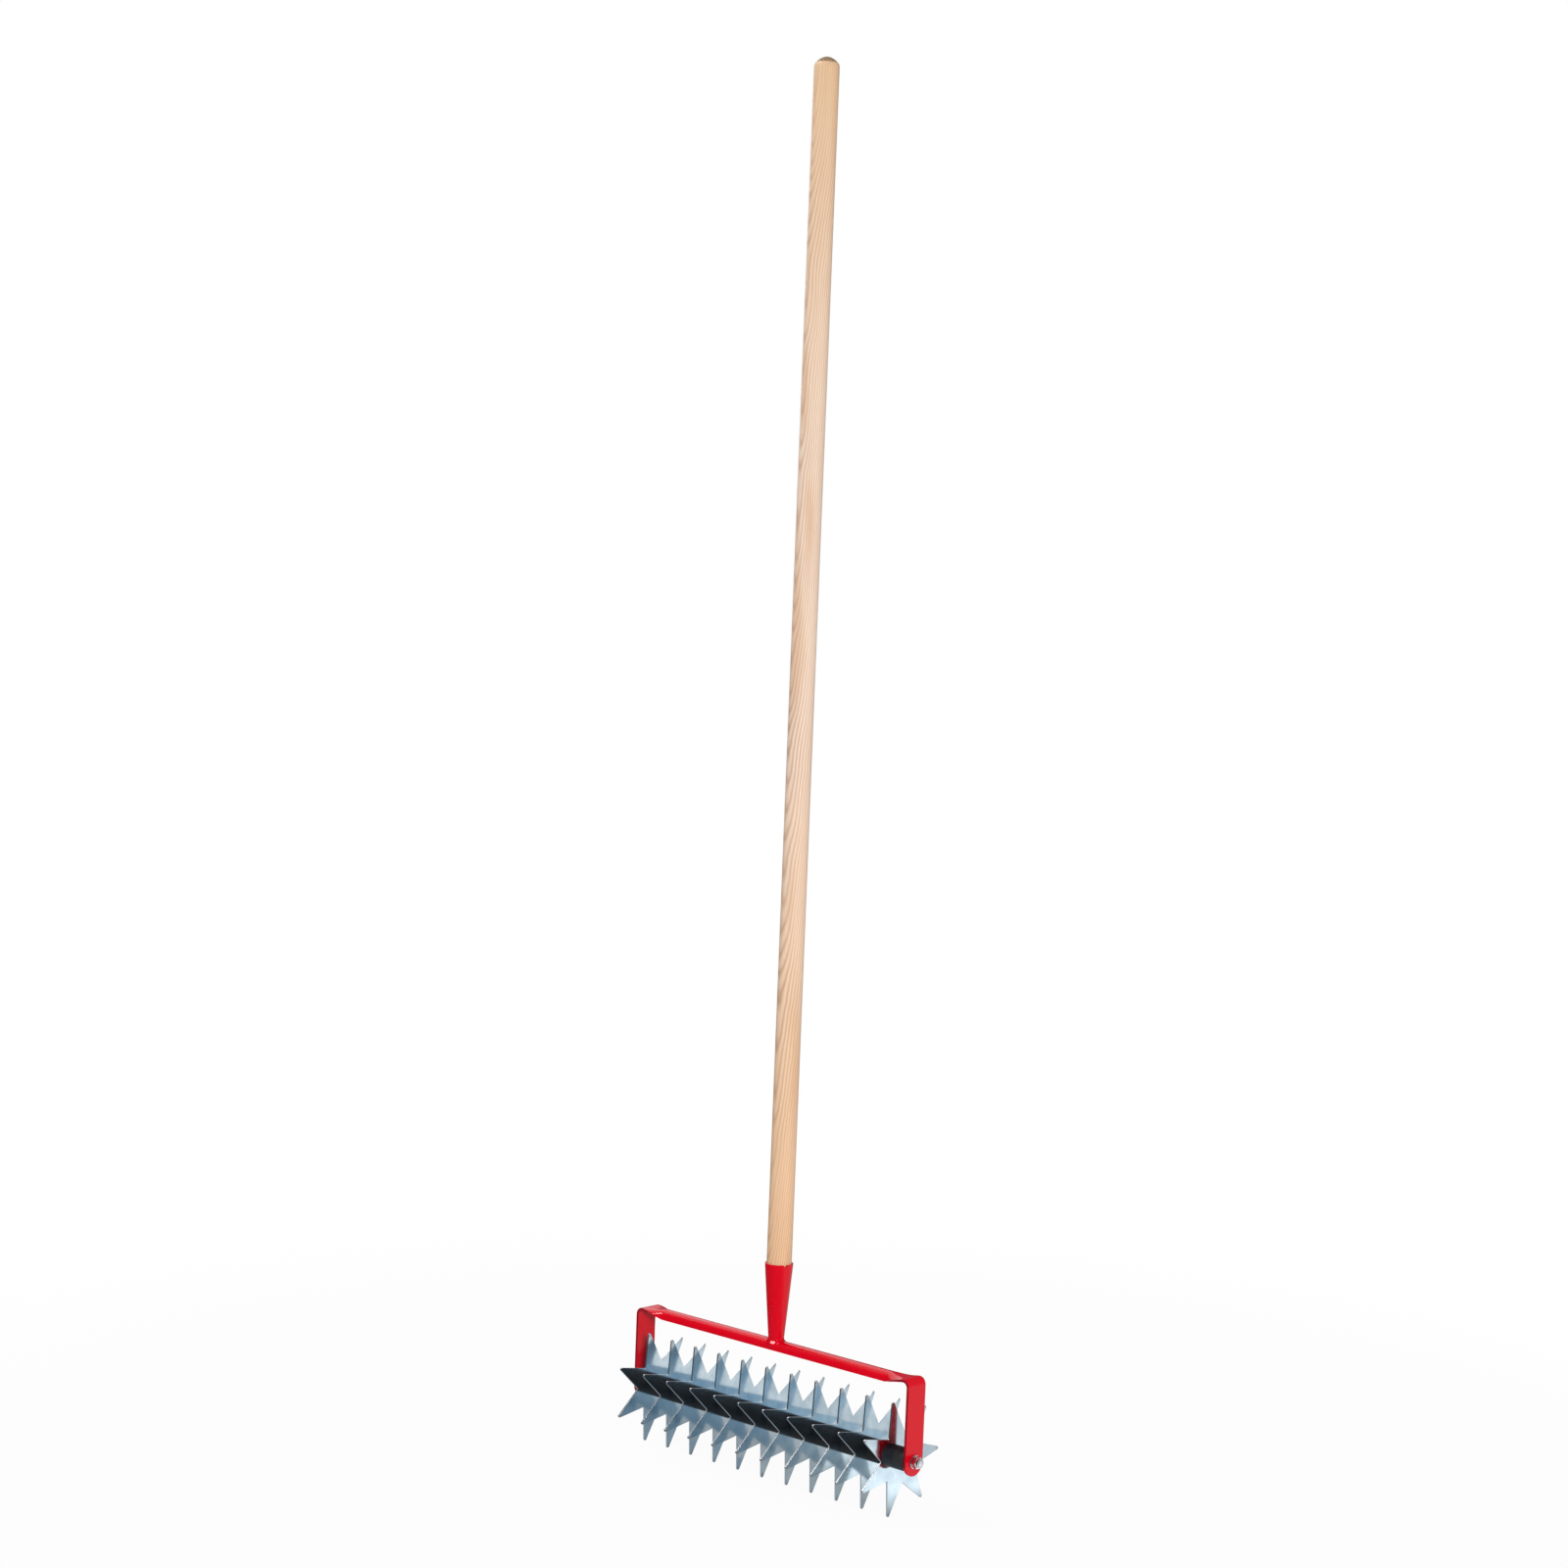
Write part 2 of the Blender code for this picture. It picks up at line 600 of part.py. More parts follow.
def build_bushes(nylon, roller):
    """A square plug in each end of the core, with a round flange inside the end spacer."""
    plug_side = CORE_SIDE - 2 * CORE_WALL - 2 * SEAT_GAP
    bore_radius = AXLE_DIAMETER / 2 + RUNNING_GAP
    flange = tube(SPACER_BORE_RADIUS - SEAT_GAP, bore_radius, BUSH_FLANGE)
    upright = Matrix.Rotation(math.pi / 2, 3, "Y")
    bmesh.ops.rotate(flange, cent=(0, 0, 0), matrix=upright, verts=flange.verts)
    mesh = make_mesh("end_bush", flange, nylon)
    bore = []
    for step in range(ROUND_STEPS):
        angle = step / ROUND_STEPS * 2 * math.pi
        bore.append((bore_radius * math.cos(angle), bore_radius * math.sin(angle)))
    plug_length = BUSH_PLUG_LENGTH + SEAT_GAP
    plug_shape = plate([rounded_square(plug_side, CORE_CORNER / 2), bore], plug_length)
    for side, name in ((1, "right"), (-1, "left")):
        turn = (1 - side) * math.pi / 2
        bush = place(f"end_bush_{name}", mesh, roller, (side * BUSH_START, 0, 0), (0, 0, turn))
        plug = place_cutter(
            f"plug_{name}", plug_shape.copy(), nylon, roller,
            location=(side * (BUSH_START - plug_length / 2 + BUSH_FLANGE / 2), 0, 0),
        )
        cut(bush, plug, "UNION")
    plug_shape.free()


def build():
    for leftover in list(bpy.data.objects):
        bpy.data.objects.remove(leftover, do_unlink=True)

    wood = make_material("ash_wood", (0.80, 0.60, 0.42), 0.5, 0)
    enamel = make_material("red_enamel", (0.62, 0.01, 0.03), 0.25, 0)
    zinc_sheet = make_material("zinc_plated_sheet", (0.50, 0.60, 0.68), 0.2, 1)
    zinc = make_material("zinc_plated_fastener", (0.62, 0.65, 0.68), 0.25, 1)
    steel = make_material("bare_steel_tube", (0.40, 0.40, 0.42), 0.4, 1)
    black = make_material("black_plastic_tube", (0.02, 0.02, 0.025), 0.35, 0)
    nylon = make_material("black_nylon", (0.03, 0.03, 0.03), 0.45, 0)
    cutting = make_material("cutter", (0.8, 0.8, 0.1), 0.5, 0)

    frame = make_empty("frame", 0)
    roller = make_empty("roller", AXLE_HEIGHT)

    handle = build_handle(wood, frame)
    socket = build_socket(enamel, frame)
    weld = build_weld(enamel, frame)
    yoke = build_yoke(enamel, frame)
    build_axle(zinc, frame)
    build_fasteners(zinc, frame)
    build_screw(enamel, frame)

    crown = crown_cutter("crown_clearance", cutting, frame)
    screw_hole = screw_hole_cutter("screw_hole", cutting, frame)
    cut(socket, crown)
    cut(socket, notch_cutter("rim_notch", cutting, frame))
    cut(socket, screw_hole)
    cut(handle, screw_hole)
    cut(weld, crown)
    cut(weld, cone_cutter("cone_clearance", cutting, frame))
    cut(yoke, axle_hole_cutter("axle_hole", cutting, frame))

    build_core(steel, roller)
    build_discs(zinc_sheet, roller)
    build_spacers(black, roller)
    build_bushes(nylon, roller)


build()
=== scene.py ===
# Rotary cultivator: an ash handle in a rolled socket, welded on a bent strip yoke that carries a free
# roller of star discs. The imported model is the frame, and finer pieces stand for its nodes.
# Lengths are in metres and angles in radians. X runs along the roller, Z runs up the handle, and the user
# stands at -Y.
import math

import bmesh
import bpy
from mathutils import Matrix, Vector, noise


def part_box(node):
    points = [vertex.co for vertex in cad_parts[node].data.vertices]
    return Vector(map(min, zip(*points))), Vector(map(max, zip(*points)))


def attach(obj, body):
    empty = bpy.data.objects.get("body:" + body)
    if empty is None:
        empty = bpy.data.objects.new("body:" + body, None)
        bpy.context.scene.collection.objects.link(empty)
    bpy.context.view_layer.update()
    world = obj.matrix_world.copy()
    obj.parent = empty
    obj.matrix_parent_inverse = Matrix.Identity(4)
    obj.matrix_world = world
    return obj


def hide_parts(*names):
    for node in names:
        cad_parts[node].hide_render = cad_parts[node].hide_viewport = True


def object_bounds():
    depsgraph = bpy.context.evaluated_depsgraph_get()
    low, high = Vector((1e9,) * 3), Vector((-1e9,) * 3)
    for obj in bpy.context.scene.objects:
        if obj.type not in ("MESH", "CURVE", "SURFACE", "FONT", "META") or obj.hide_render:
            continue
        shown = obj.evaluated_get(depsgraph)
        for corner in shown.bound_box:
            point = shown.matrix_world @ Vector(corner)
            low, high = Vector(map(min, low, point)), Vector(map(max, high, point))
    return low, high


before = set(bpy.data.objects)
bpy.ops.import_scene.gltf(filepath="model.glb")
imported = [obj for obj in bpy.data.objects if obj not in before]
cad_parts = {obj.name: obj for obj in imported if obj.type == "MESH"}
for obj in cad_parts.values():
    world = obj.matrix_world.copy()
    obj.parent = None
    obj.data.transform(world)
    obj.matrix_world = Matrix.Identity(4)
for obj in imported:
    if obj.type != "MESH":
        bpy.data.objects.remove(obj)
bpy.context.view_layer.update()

MM = 0.001

# How near is at a place, how near is one corner, and how far a cutter runs past the face that it cuts
NEAR = 0.1 * MM
TOUCHING = 0.01 * MM
OVERRUN = 1 * MM

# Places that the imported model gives
AXLE_HEIGHT = (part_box("core_tube")[0].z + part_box("core_tube")[1].z) / 2
AXLE_HALF_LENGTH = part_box("axle_rod")[1].x
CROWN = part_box("yoke")[1].z
ARM_OUTER_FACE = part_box("yoke")[1].x
ARM_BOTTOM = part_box("yoke")[0].z
SOCKET_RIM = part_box("socket")[1].z
HANDLE_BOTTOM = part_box("handle")[0].z
HANDLE_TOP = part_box("handle")[1].z

# Star discs
DISC_COUNT = 11
DISC_PITCH = 40 * MM
DISC_THICKNESS = 2 * MM
TOOTH_COUNT = 7
TIP_RADIUS = 68.8 * MM
TIP_ROUNDING = 1.9 * MM
VALLEY_RADIUS = 31 * MM
VALLEY_ROUNDING = 0.8 * MM
FIRST_TOOTH_ANGLE = math.radians(153.67)
DISC_EDGE = 0.15 * MM
CORE_HOLE = 16.6 * MM
CORE_HOLE_CORNER = 1.3 * MM

# Spacers
SPACER_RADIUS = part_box("spacer_01")[1].z - AXLE_HEIGHT
SPACER_WALL = 2.2 * MM
SPACER_EDGE = 0.12 * MM
SPACER_REST = 0.02 * MM

# Fasteners on the axle
AXLE_RADIUS = 4 * MM
AXLE_CHAMFER = 0.6 * MM
BORE_CLEARANCE = 0.3 * MM
NUT_ACROSS_FLATS = 13 * MM
NUT_HEX_HEIGHT = 5.6 * MM
NUT_COLLAR_RADIUS = 5.8 * MM
NUT_COLLAR_ROUNDING = 0.9 * MM
NUT_CHAMFER_RISE = 0.7 * MM
NUT_FACE_RADIUS = 6.2 * MM
NUT_EDGE = 0.12 * MM
WASHER_EDGE = 0.3 * MM

# Yoke
STRIP_WIDTH = 30 * MM
STRIP_THICKNESS = 3 * MM
STRIP_EDGE = 0.6 * MM
BEND_OUTER_RADIUS = 8.8 * MM
SHOULDER_DROP = 1.3 * MM
SHOULDER_LENGTH = 13 * MM
SHOULDER_FLAT = 10 * MM
TRANSITION_LENGTH = 18 * MM
FORMED_LENGTH = SHOULDER_LENGTH + TRANSITION_LENGTH
CLOSING_POWER = 1.4
TROUGH_ANGLE = math.pi
TROUGH_FLAT = 2 * MM
TROUGH_OUTER_RADIUS = (STRIP_WIDTH - TROUGH_FLAT) / TROUGH_ANGLE + STRIP_THICKNESS / 2
BEND_START = ARM_OUTER_FACE - BEND_OUTER_RADIUS
BEND_LENGTH = BEND_OUTER_RADIUS * math.pi / 2
SHOULDER_TOP = CROWN - SHOULDER_DROP
ARM_START = BEND_START + BEND_LENGTH
STRIP_HALF_LENGTH = ARM_START + SHOULDER_TOP - BEND_OUTER_RADIUS - ARM_BOTTOM

# Socket and weld
SOCKET_HEIGHT = 93 * MM
SOCKET_WALL = 2 * MM
SOCKET_EDGE = 0.55 * MM
SOCKET_RIM_RADIUS = 17 * MM
SOCKET_BASE_INSET = 2.16 * MM
SOCKET_BASE_RADIUS = TROUGH_FLAT / 2 + TROUGH_OUTER_RADIUS - SOCKET_BASE_INSET
SOCKET_SLOPE = (SOCKET_RIM_RADIUS - SOCKET_BASE_RADIUS) / SOCKET_HEIGHT
NOTCH_DEPTH = 3 * MM
NOTCH_WIDTH = 3.2 * MM
NOTCH_ANGLE = math.radians(-20)
WELD_RISE = 4.4 * MM
WELD_REACH = 4.6 * MM
WELD_SKIN = 1.2 * MM
WELD_PROUD = 0.05 * MM
WELD_LUMP = 0.5 * MM
WELD_LUMP_SIZE = 3.2 * MM
WELD_END_ANGLE = math.radians(-76)
WELD_END_WIDTH = math.radians(27)
WELD_BROW = 6.2 * MM
CRATER_FACING = Vector((0.171, -0.686, 0.707)).normalized()
CRATER_DEPTH = 0.9 * MM

# Handle and its screw
HANDLE_RADIUS = 15 * MM
HANDLE_END_CHAMFER = 1.5 * MM
SEAT_GAP = 0.3 * MM
DOME_HEIGHT = 13.6 * MM
CAP_HEIGHT = 6.9 * MM
CAP_RADIUS = 12.7 * MM
CAP_RISE_POWER = 1.75
CAP_CLOSING_POWER = 1.15
SCREW_HEIGHT = CROWN + 45 * MM
SCREW_RADIUS = 1.5 * MM
SCREW_HEAD_RADIUS = 2.5 * MM
SCREW_HEAD_HEIGHT = 1.2 * MM
SCREW_HEAD_RIM = 0.3 * MM
SCREW_LENGTH = 20 * MM
SCREW_POINT = 3 * MM
SCREW_SLOT = 0.8 * MM
SCREW_SLOT_DEPTH = 0.55 * MM
SCREW_SLOT_TURN = 0.5
SCREW_HOLE_END = 9 * MM

# Camera, fitted to the tool's corners: its angles are in degrees, its lens and sensor in millimetres
CAMERA_PLACE = (2.4995, -2.6990, 1.0943)
CAMERA_ANGLES = (85.8731, -2.2605, 43.2263)
CAMERA_LENS = 71.872
CAMERA_SENSOR = 36

# Light: white is 1, and the bright side is a level direction from the tool
BRIGHT_SIDE = (0.683, 0.730, 0)
WORLD_LIGHT = 0.36
ROOM_MIRRORED = 0.07
BACKDROP_MIRRORED = 0.52
FLOOR_MIRRORED = 1.05
GREY_BEHIND = 0.34
FLOOR_GLOW = 0.95
SHADOW_REACH = 1.6
PAPER_GREY = 0.62


# Modelling helpers
def start(name):
    """The primitive that was just added gets its name and its mesh's place."""
    piece = bpy.context.object
    piece.name = name
    settle(piece)
    return piece


def settle(piece):
    """Puts a piece's place, turn and scale into its mesh."""
    choose(piece)
    bpy.ops.object.transform_apply(location=True, rotation=True, scale=True)


def choose(piece):
    """Selects one piece alone and makes it the active one."""
    bpy.ops.object.select_all(action="DESELECT")
    piece.select_set(True)
    bpy.context.view_layer.objects.active = piece


def edit(piece):
    """Opens a piece in edit mode with all of it selected."""
    choose(piece)
    bpy.ops.object.mode_set(mode="EDIT")
    bpy.ops.mesh.select_mode(type="FACE")
    bpy.ops.mesh.select_all(action="SELECT")


def done():
    bpy.ops.object.mode_set(mode="OBJECT")


def pick(piece, kind, test):
    """Selects the corners, edges or faces of the open piece that pass a test, and nothing else."""
    bpy.ops.mesh.select_mode(type=kind)
    bpy.ops.mesh.select_all(action="DESELECT")
    shape = bmesh.from_edit_mesh(piece.data)
    for element in {"VERT": shape.verts, "EDGE": shape.edges, "FACE": shape.faces}[kind]:
        if test(element):
            element.select_set(True)
    shape.select_flush_mode()
    bmesh.update_edit_mesh(piece.data)


def on_axle(along):
    """A point of the axle's line."""
    return Vector((along, 0, AXLE_HEIGHT))


def middle(edge):
    """The middle of an edge."""
    return (edge.verts[0].co + edge.verts[1].co) / 2


def modify(piece, kind, **settings):
    """Adds one modifier with its settings and applies it."""
    choose(piece)
    modifier = piece.modifiers.new(kind.title(), kind)
    for name, value in settings.items():
        setattr(modifier, name, value)
    bpy.ops.object.modifier_apply(modifier=modifier.name)


def combine(piece, tool, operation):
    """Cuts, joins or trims a piece with another, which is used up."""
    modify(piece, "BOOLEAN", object=tool, operation=operation, solver="EXACT")
    bpy.data.objects.remove(tool)


def score(place, normal, **settings):
    """Cuts the open piece along a plane, which only adds edges unless a setting clears one side."""
    bpy.ops.mesh.select_all(action="SELECT")
    bpy.ops.mesh.bisect(plane_co=place, plane_no=normal, **settings)


def draw_out(move, grow, centre):
    """Extrudes what is selected, and grows or shrinks its new end round a centre."""
    bpy.ops.mesh.extrude_region_move(TRANSFORM_OT_translate={"value": move})
    bpy.ops.transform.resize(value=grow, center_override=centre)


def shade(piece, sharp_angle):
    """Shades a piece smooth, except at edges sharper than an angle in degrees."""
    choose(piece)
    bpy.ops.object.shade_smooth_by_angle(angle=math.radians(sharp_angle))


def round_edges(piece, width, segments=3):
    """Breaks the sharp edges and keeps the flats flat."""
    choose(piece)
    bpy.ops.object.shade_smooth()
    modify(
        piece, "BEVEL", width=width, segments=segments, limit_method="ANGLE", angle_limit=math.radians(40),
        harden_normals=True,
    )


def bevel_edges(piece, offset, segments, test):
    """Bevels the edges of a piece that pass a test."""
    edit(piece)
    pick(piece, "EDGE", test)
    bpy.ops.mesh.bevel(offset=offset, segments=segments)
    done()


def bar(name, radius, start_point, end_point, sides=64, ends="NGON"):
    """A round bar between two points, with flat ends or none."""
    start_point = Vector(start_point)
    end_point = Vector(end_point)
    along = end_point - start_point
    bpy.ops.mesh.primitive_cylinder_add(
        vertices=sides, radius=radius, depth=along.length, end_fill_type=ends,
        location=(start_point + end_point) / 2, rotation=along.to_track_quat("Z", "Y").to_euler(),
    )
    return start(name)


def finish_piece(piece, material, node, body="frame"):
    """Gives a finished piece its material and body, and lets it stand for its CAD node."""
    piece.data.materials.clear()
    piece.data.materials.append(material)
    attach(piece, body)
    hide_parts(node)


def copy_piece(piece, name, offset=0, turn=0):
    """Another piece of the same shape with its own mesh, moved along the roller or turned about Z."""
    copied = piece.copy()
    copied.data = piece.data.copy()
    copied.name = name
    bpy.context.scene.collection.objects.link(copied)
    copied.location = (offset, 0, 0)
    copied.rotation_euler = (0, 0, turn)
    settle(copied)
    return copied


def finish_pair(right, material, node, body="frame"):
    """Finishes a piece of the right end and its copy at the left end, which stand for a pair of nodes."""
    left = copy_piece(right, right.name.replace("right", "left"), turn=math.pi)
    finish_piece(right, material, f"{node}_right", body)
    finish_piece(left, material, f"{node}_left", body)


def finish_row(first, name, count, material, node):
    """Copies a piece of the roller to its places along the axle, a pitch apart, and uses it up."""
    for index in range(count):
        offset = (index - (count - 1) / 2) * DISC_PITCH
        piece = copy_piece(first, f"{name}_{index + 1:02d}", offset)
        finish_piece(piece, material, f"{node}_{index + 1:02d}", "roller")
    bpy.data.objects.remove(first)


# Material helpers
def linear(code):
    """An sRGB hex colour as linear red, green, blue and alpha."""
    channels = [int(code[place:place + 2], 16) / 255 for place in (0, 2, 4)]
    return (*(c / 12.92 if c <= 0.04045 else ((c + 0.055) / 1.055) ** 2.4 for c in channels), 1)


def add(tree, kind, inputs=None, stops=None, **settings):
    """Adds a node with its settings, and gives its sockets, by name or number, their values or links. It
    takes the socket in use where some share a name, and the first output in use of a node."""
    node = tree.nodes.new("ShaderNode" + kind)
    for name, value in settings.items():
        setattr(node, name, value)
    for key, value in (inputs or {}).items():
        socket = node.inputs[key]
        if not socket.enabled:
            socket = next(other for other in node.inputs if other.enabled and other.name == key)
        if isinstance(value, bpy.types.Node):
            value = next(output for output in value.outputs if output.enabled)
        if isinstance(value, bpy.types.NodeSocket):
            tree.links.new(value, socket)
        else:
            socket.default_value = value
    if stops:
        elements = node.color_ramp.elements
        while len(elements) < len(stops):
            elements.new(0.5)
        for element, (position, colour) in zip(elements, stops):
            element.position = position
            element.color = colour
    return node


def new_material(name):
    """An empty material, its nodes, and the place on the object that its patterns read."""
    material = bpy.data.materials.new(name)
    material.use_nodes = True
    tree = material.node_tree
    tree.nodes.clear()
    return material, tree, add(tree, "TexCoord").outputs["Object"]


def show(material, inputs):
    """Gives a material its surface, made of these inputs, and returns it."""
    tree = material.node_tree
    add(tree, "OutputMaterial", {"Surface": add(tree, "BsdfPrincipled", inputs)})
    return material


def streaks(tree, place, waves, **inputs):
    """Noise stretched into streaks, with so many waves a metre along each axis."""
    stretched = add(tree, "Mapping", {"Vector": place, "Scale": waves})
    return add(tree, "TexNoise", {"Vector": stretched, "Scale": 1, **inputs})


def grey(value):
    return (value, value, value, 1)


# Materials
def ash():
    """Turned and sanded ash under a thin clear oil: pale, pinkish half-way up, with porous rings that show
    as straight streaks and long flames. The domed end is end grain, which soaks up oil and dirt."""
    material, tree, place = new_material("turned_ash")
    # The pole is sawn from a plank, so the trunk's middle lies beside it and leans a little.
    trunk = add(tree, "Mapping", {
        "Vector": place, "Location": (65 * MM, 161 * MM, 0),
        "Rotation": (math.radians(4.24), math.radians(-1.71), 0),
    })
    # The trunk wanders up to 14 mm off its line, over some 250 mm of its length.
    wander = streaks(tree, place, (12, 12, 4), Detail=2, Roughness=0.45)
    wander_centred = add(tree, "VectorMath", {
        0: wander.outputs["Color"], 1: (0.5, 0.5, 0.5),
    }, operation="SUBTRACT")
    wander_shift = add(tree, "VectorMath", {0: wander_centred, "Scale": 28 * MM}, operation="SCALE")
    rings_place = add(tree, "VectorMath", {0: trunk, 1: wander_shift}, operation="ADD")
    # Rings some 2.9 mm wide: the wave repeats every 0.314 m over its scale.
    rings = add(tree, "TexWave", {
        "Vector": rings_place, "Scale": 0.314 / (2.9 * MM), "Distortion": 1.5, "Detail": 2,
        "Detail Scale": 0.4,
    }, wave_type="RINGS", rings_direction="Z", wave_profile="SAW").outputs["Fac"]
    ring_line = add(tree, "ValToRGB", {"Fac": rings}, stops=[
        (0.0, grey(0.45)), (0.25, grey(0.0)), (0.55, grey(0.15)), (0.85, grey(1.0)), (1.0, grey(0.5)),
    ])
    # Pores are finer than a pixel, so they are drawn as streaks 1 mm wide and some 40 mm long.
    pores = streaks(tree, place, (1000, 1000, 25), Detail=3, Roughness=0.6)
    pore_line = add(tree, "MapRange", {"Value": pores, "From Min": 0.35, "From Max": 0.7})
    # Darker patches are some 20 mm wide and 200 mm long.
    bands = streaks(tree, place, (45, 45, 5), Detail=1)
    height = add(tree, "SeparateXYZ", {"Vector": place}).outputs["Z"]
    # Along the pole the wood goes from orange at the socket, through cream, to tan at the top.
    up_pole = add(tree, "MapRange", {"Value": height, "From Min": SOCKET_RIM, "From Max": HANDLE_TOP})
    pale = add(tree, "ValToRGB", {"Fac": up_pole}, stops=[
        (0.0, linear("EEC298")), (0.2, linear("F2D0B0")), (0.45, linear("F2DAC6")),
        (0.7, linear("EFD8C3")), (1.0, linear("DFBB95")),
    ])
    patch = add(tree, "MapRange", {
        "Value": bands, "From Min": 0.5, "From Max": 0.72, "To Max": 0.45,
    }, interpolation_type="SMOOTHSTEP")
    tinted = add(tree, "Mix", {"Factor": patch, "A": pale, "B": linear("D7A476")}, data_type="RGBA")
    strength = add(tree, "MapRange", {
        "Value": wander, "From Min": 0.3, "From Max": 0.65, "To Min": 0.25, "To Max": 0.75,
    })
    ring_share = add(tree, "Math", {0: ring_line, 1: strength}, operation="MULTIPLY")
    ringed = add(tree, "Mix", {"Factor": ring_share, "A": tinted, "B": linear("B88A68")}, data_type="RGBA")
    pore_share = add(tree, "Math", {0: pore_line, 1: 0.2}, operation="MULTIPLY")
    side = add(tree, "Mix", {"Factor": pore_share, "A": ringed, "B": linear("BC9677")}, data_type="RGBA")
    # The end grain starts at the crease round the dome, with a slightly uneven line.
    uneven = add(tree, "TexNoise", {"Vector": place, "Scale": 260, "Detail": 2})
    end_height = add(tree, "Math", {0: uneven, 1: 0.9 * MM, 2: height}, operation="MULTIPLY_ADD")
    end_mask = add(tree, "MapRange", {
        "Value": end_height, "From Min": HANDLE_TOP - CAP_HEIGHT + 0.1 * MM,
        "From Max": HANDLE_TOP - CAP_HEIGHT + 0.7 * MM,
    })
    end_grain = add(tree, "Mix", {
        "Factor": ring_line, "A": linear("A98D6C"), "B": linear("6E5A41"),
    }, data_type="RGBA")
    colour = add(tree, "Mix", {"Factor": end_mask, "A": side, "B": end_grain}, data_type="RGBA")
    roughness = add(tree, "MapRange", {"Value": pore_line, "To Min": 0.42, "To Max": 0.55})
    relief = add(tree, "Math", {0: ring_line, 1: 0.4, 2: pore_line}, operation="MULTIPLY_ADD")
    bump = add(tree, "Bump", {"Height": relief, "Strength": 0.35, "Distance": 0.06 * MM}, invert=True)
    return show(material, {"Base Color": colour, "Roughness": roughness, "Normal": bump, "IOR": 1.5})


def enamel():
    """Stoved gloss enamel on steel: deep even red, with a skin that is slightly uneven, like orange peel."""
    material, tree, place = new_material("red_stoved_enamel")
    cloud = add(tree, "TexNoise", {"Vector": place, "Scale": 1 / (30 * MM), "Detail": 2})
    colour = add(tree, "Mix", {
        "Factor": cloud, "A": linear("D20015"), "B": linear("DA0120"),
    }, data_type="RGBA")
    # The strip's sheared edges below the crown are painted a darker red, as painted shade.
    parted = add(tree, "SeparateXYZ", {"Vector": place})
    from_middle = add(tree, "Math", {0: parted.outputs["Y"]}, operation="ABSOLUTE")
    on_edge = add(tree, "MapRange", {
        "Value": from_middle, "From Min": STRIP_WIDTH / 2 - 0.6 * MM, "From Max": STRIP_WIDTH / 2 - 0.2 * MM,
        "To Max": 0.7,
    })
    below_crown = add(tree, "Math", {0: parted.outputs["Z"], 1: CROWN}, operation="LESS_THAN")
    painted_edge_shade = add(tree, "Math", {0: on_edge, 1: below_crown}, operation="MULTIPLY")
    red_with_edge_shade = add(tree, "Mix", {"Factor": painted_edge_shade, "A": colour, "B": linear("6E0A18")}, data_type="RGBA")
    peel = add(tree, "TexNoise", {"Vector": place, "Scale": 1 / (1.8 * MM), "Detail": 1})
    sag = add(tree, "TexNoise", {"Vector": place, "Scale": 1 / (9 * MM), "Detail": 1})
    skin = add(tree, "Math", {0: sag, 1: 3.0, 2: peel}, operation="MULTIPLY_ADD")
    bump = add(tree, "Bump", {"Height": skin, "Strength": 0.3, "Distance": 0.03 * MM})
    roughness = add(tree, "MapRange", {"Value": cloud, "To Min": 0.15, "To Max": 0.23})
    return show(material, {
        "Base Color": red_with_edge_shade, "Roughness": roughness, "Normal": bump, "IOR": 1.5,
        "Specular IOR Level": 0.25,
    })


def zinc_sheet():
    """Cold-rolled sheet, punched and blue zinc plated: a bright skin with a cold tint, faint rolling lines
    and clouds. The punched edges are rougher and paler, and the teeth's tips are scuffed."""
    material, tree, place = new_material("blue_zinc_plated_sheet")
    about_axle = add(tree, "Mapping", {"Vector": place, "Location": (0, 0, -AXLE_HEIGHT)})
    across = add(tree, "VectorMath", {0: about_axle, 1: (0, 1, 1)}, operation="MULTIPLY")
    radius = add(tree, "VectorMath", {0: across}, operation="LENGTH")
    cloud = add(tree, "TexNoise", {"Vector": place, "Scale": 1 / (16 * MM), "Detail": 4, "Roughness": 0.55})
    # Rolling lines are 0.7 mm apart.
    lines = streaks(tree, place, (1, 60, 1400), Detail=3)
    tint = add(tree, "ValToRGB", {"Fac": cloud}, stops=[
        (0.3, linear("B9CDD9")), (0.5, linear("C7D9E4")), (0.7, linear("D6E4EC")),
    ])
    normal = add(tree, "TexCoord").outputs["Normal"]
    facing = add(tree, "SeparateXYZ", {"Vector": normal}).outputs["X"]
    flat = add(tree, "Math", {0: facing}, operation="ABSOLUTE")
    edge = add(tree, "MapRange", {"Value": flat, "From Min": 0.75, "From Max": 0.4})
    scuff_noise = add(tree, "TexNoise", {"Vector": place, "Scale": 1 / (1.5 * MM), "Detail": 3})
    near_tip = add(tree, "MapRange", {"Value": radius, "From Min": 54 * MM, "From Max": TIP_RADIUS})
    scuff = add(tree, "Math", {0: near_tip, 1: scuff_noise}, operation="MULTIPLY")
    worn = add(tree, "MapRange", {"Value": scuff, "From Min": 0.3, "From Max": 0.5})
    scuffed = add(tree, "Mix", {"Factor": worn, "A": tint, "B": linear("ABADAE")}, data_type="RGBA")
    colour = add(tree, "Mix", {"Factor": edge, "A": scuffed, "B": linear("F0F2F4")}, data_type="RGBA")
    rough_flat = add(tree, "MapRange", {"Value": lines, "To Min": 0.07, "To Max": 0.17})
    rough_worn = add(tree, "Math", {0: worn, 1: 0.15, 2: rough_flat}, operation="MULTIPLY_ADD")
    rough = add(tree, "Math", {0: edge, 1: 0.2, 2: rough_worn}, operation="MULTIPLY_ADD")
    relief = add(tree, "Math", {0: cloud, 1: 4.0, 2: lines}, operation="MULTIPLY_ADD")
    bump = add(tree, "Bump", {"Height": relief, "Strength": 0.25, "Distance": 0.02 * MM})
    return show(material, {"Base Color": colour, "Roughness": rough, "Metallic": 1.0, "Normal": bump})


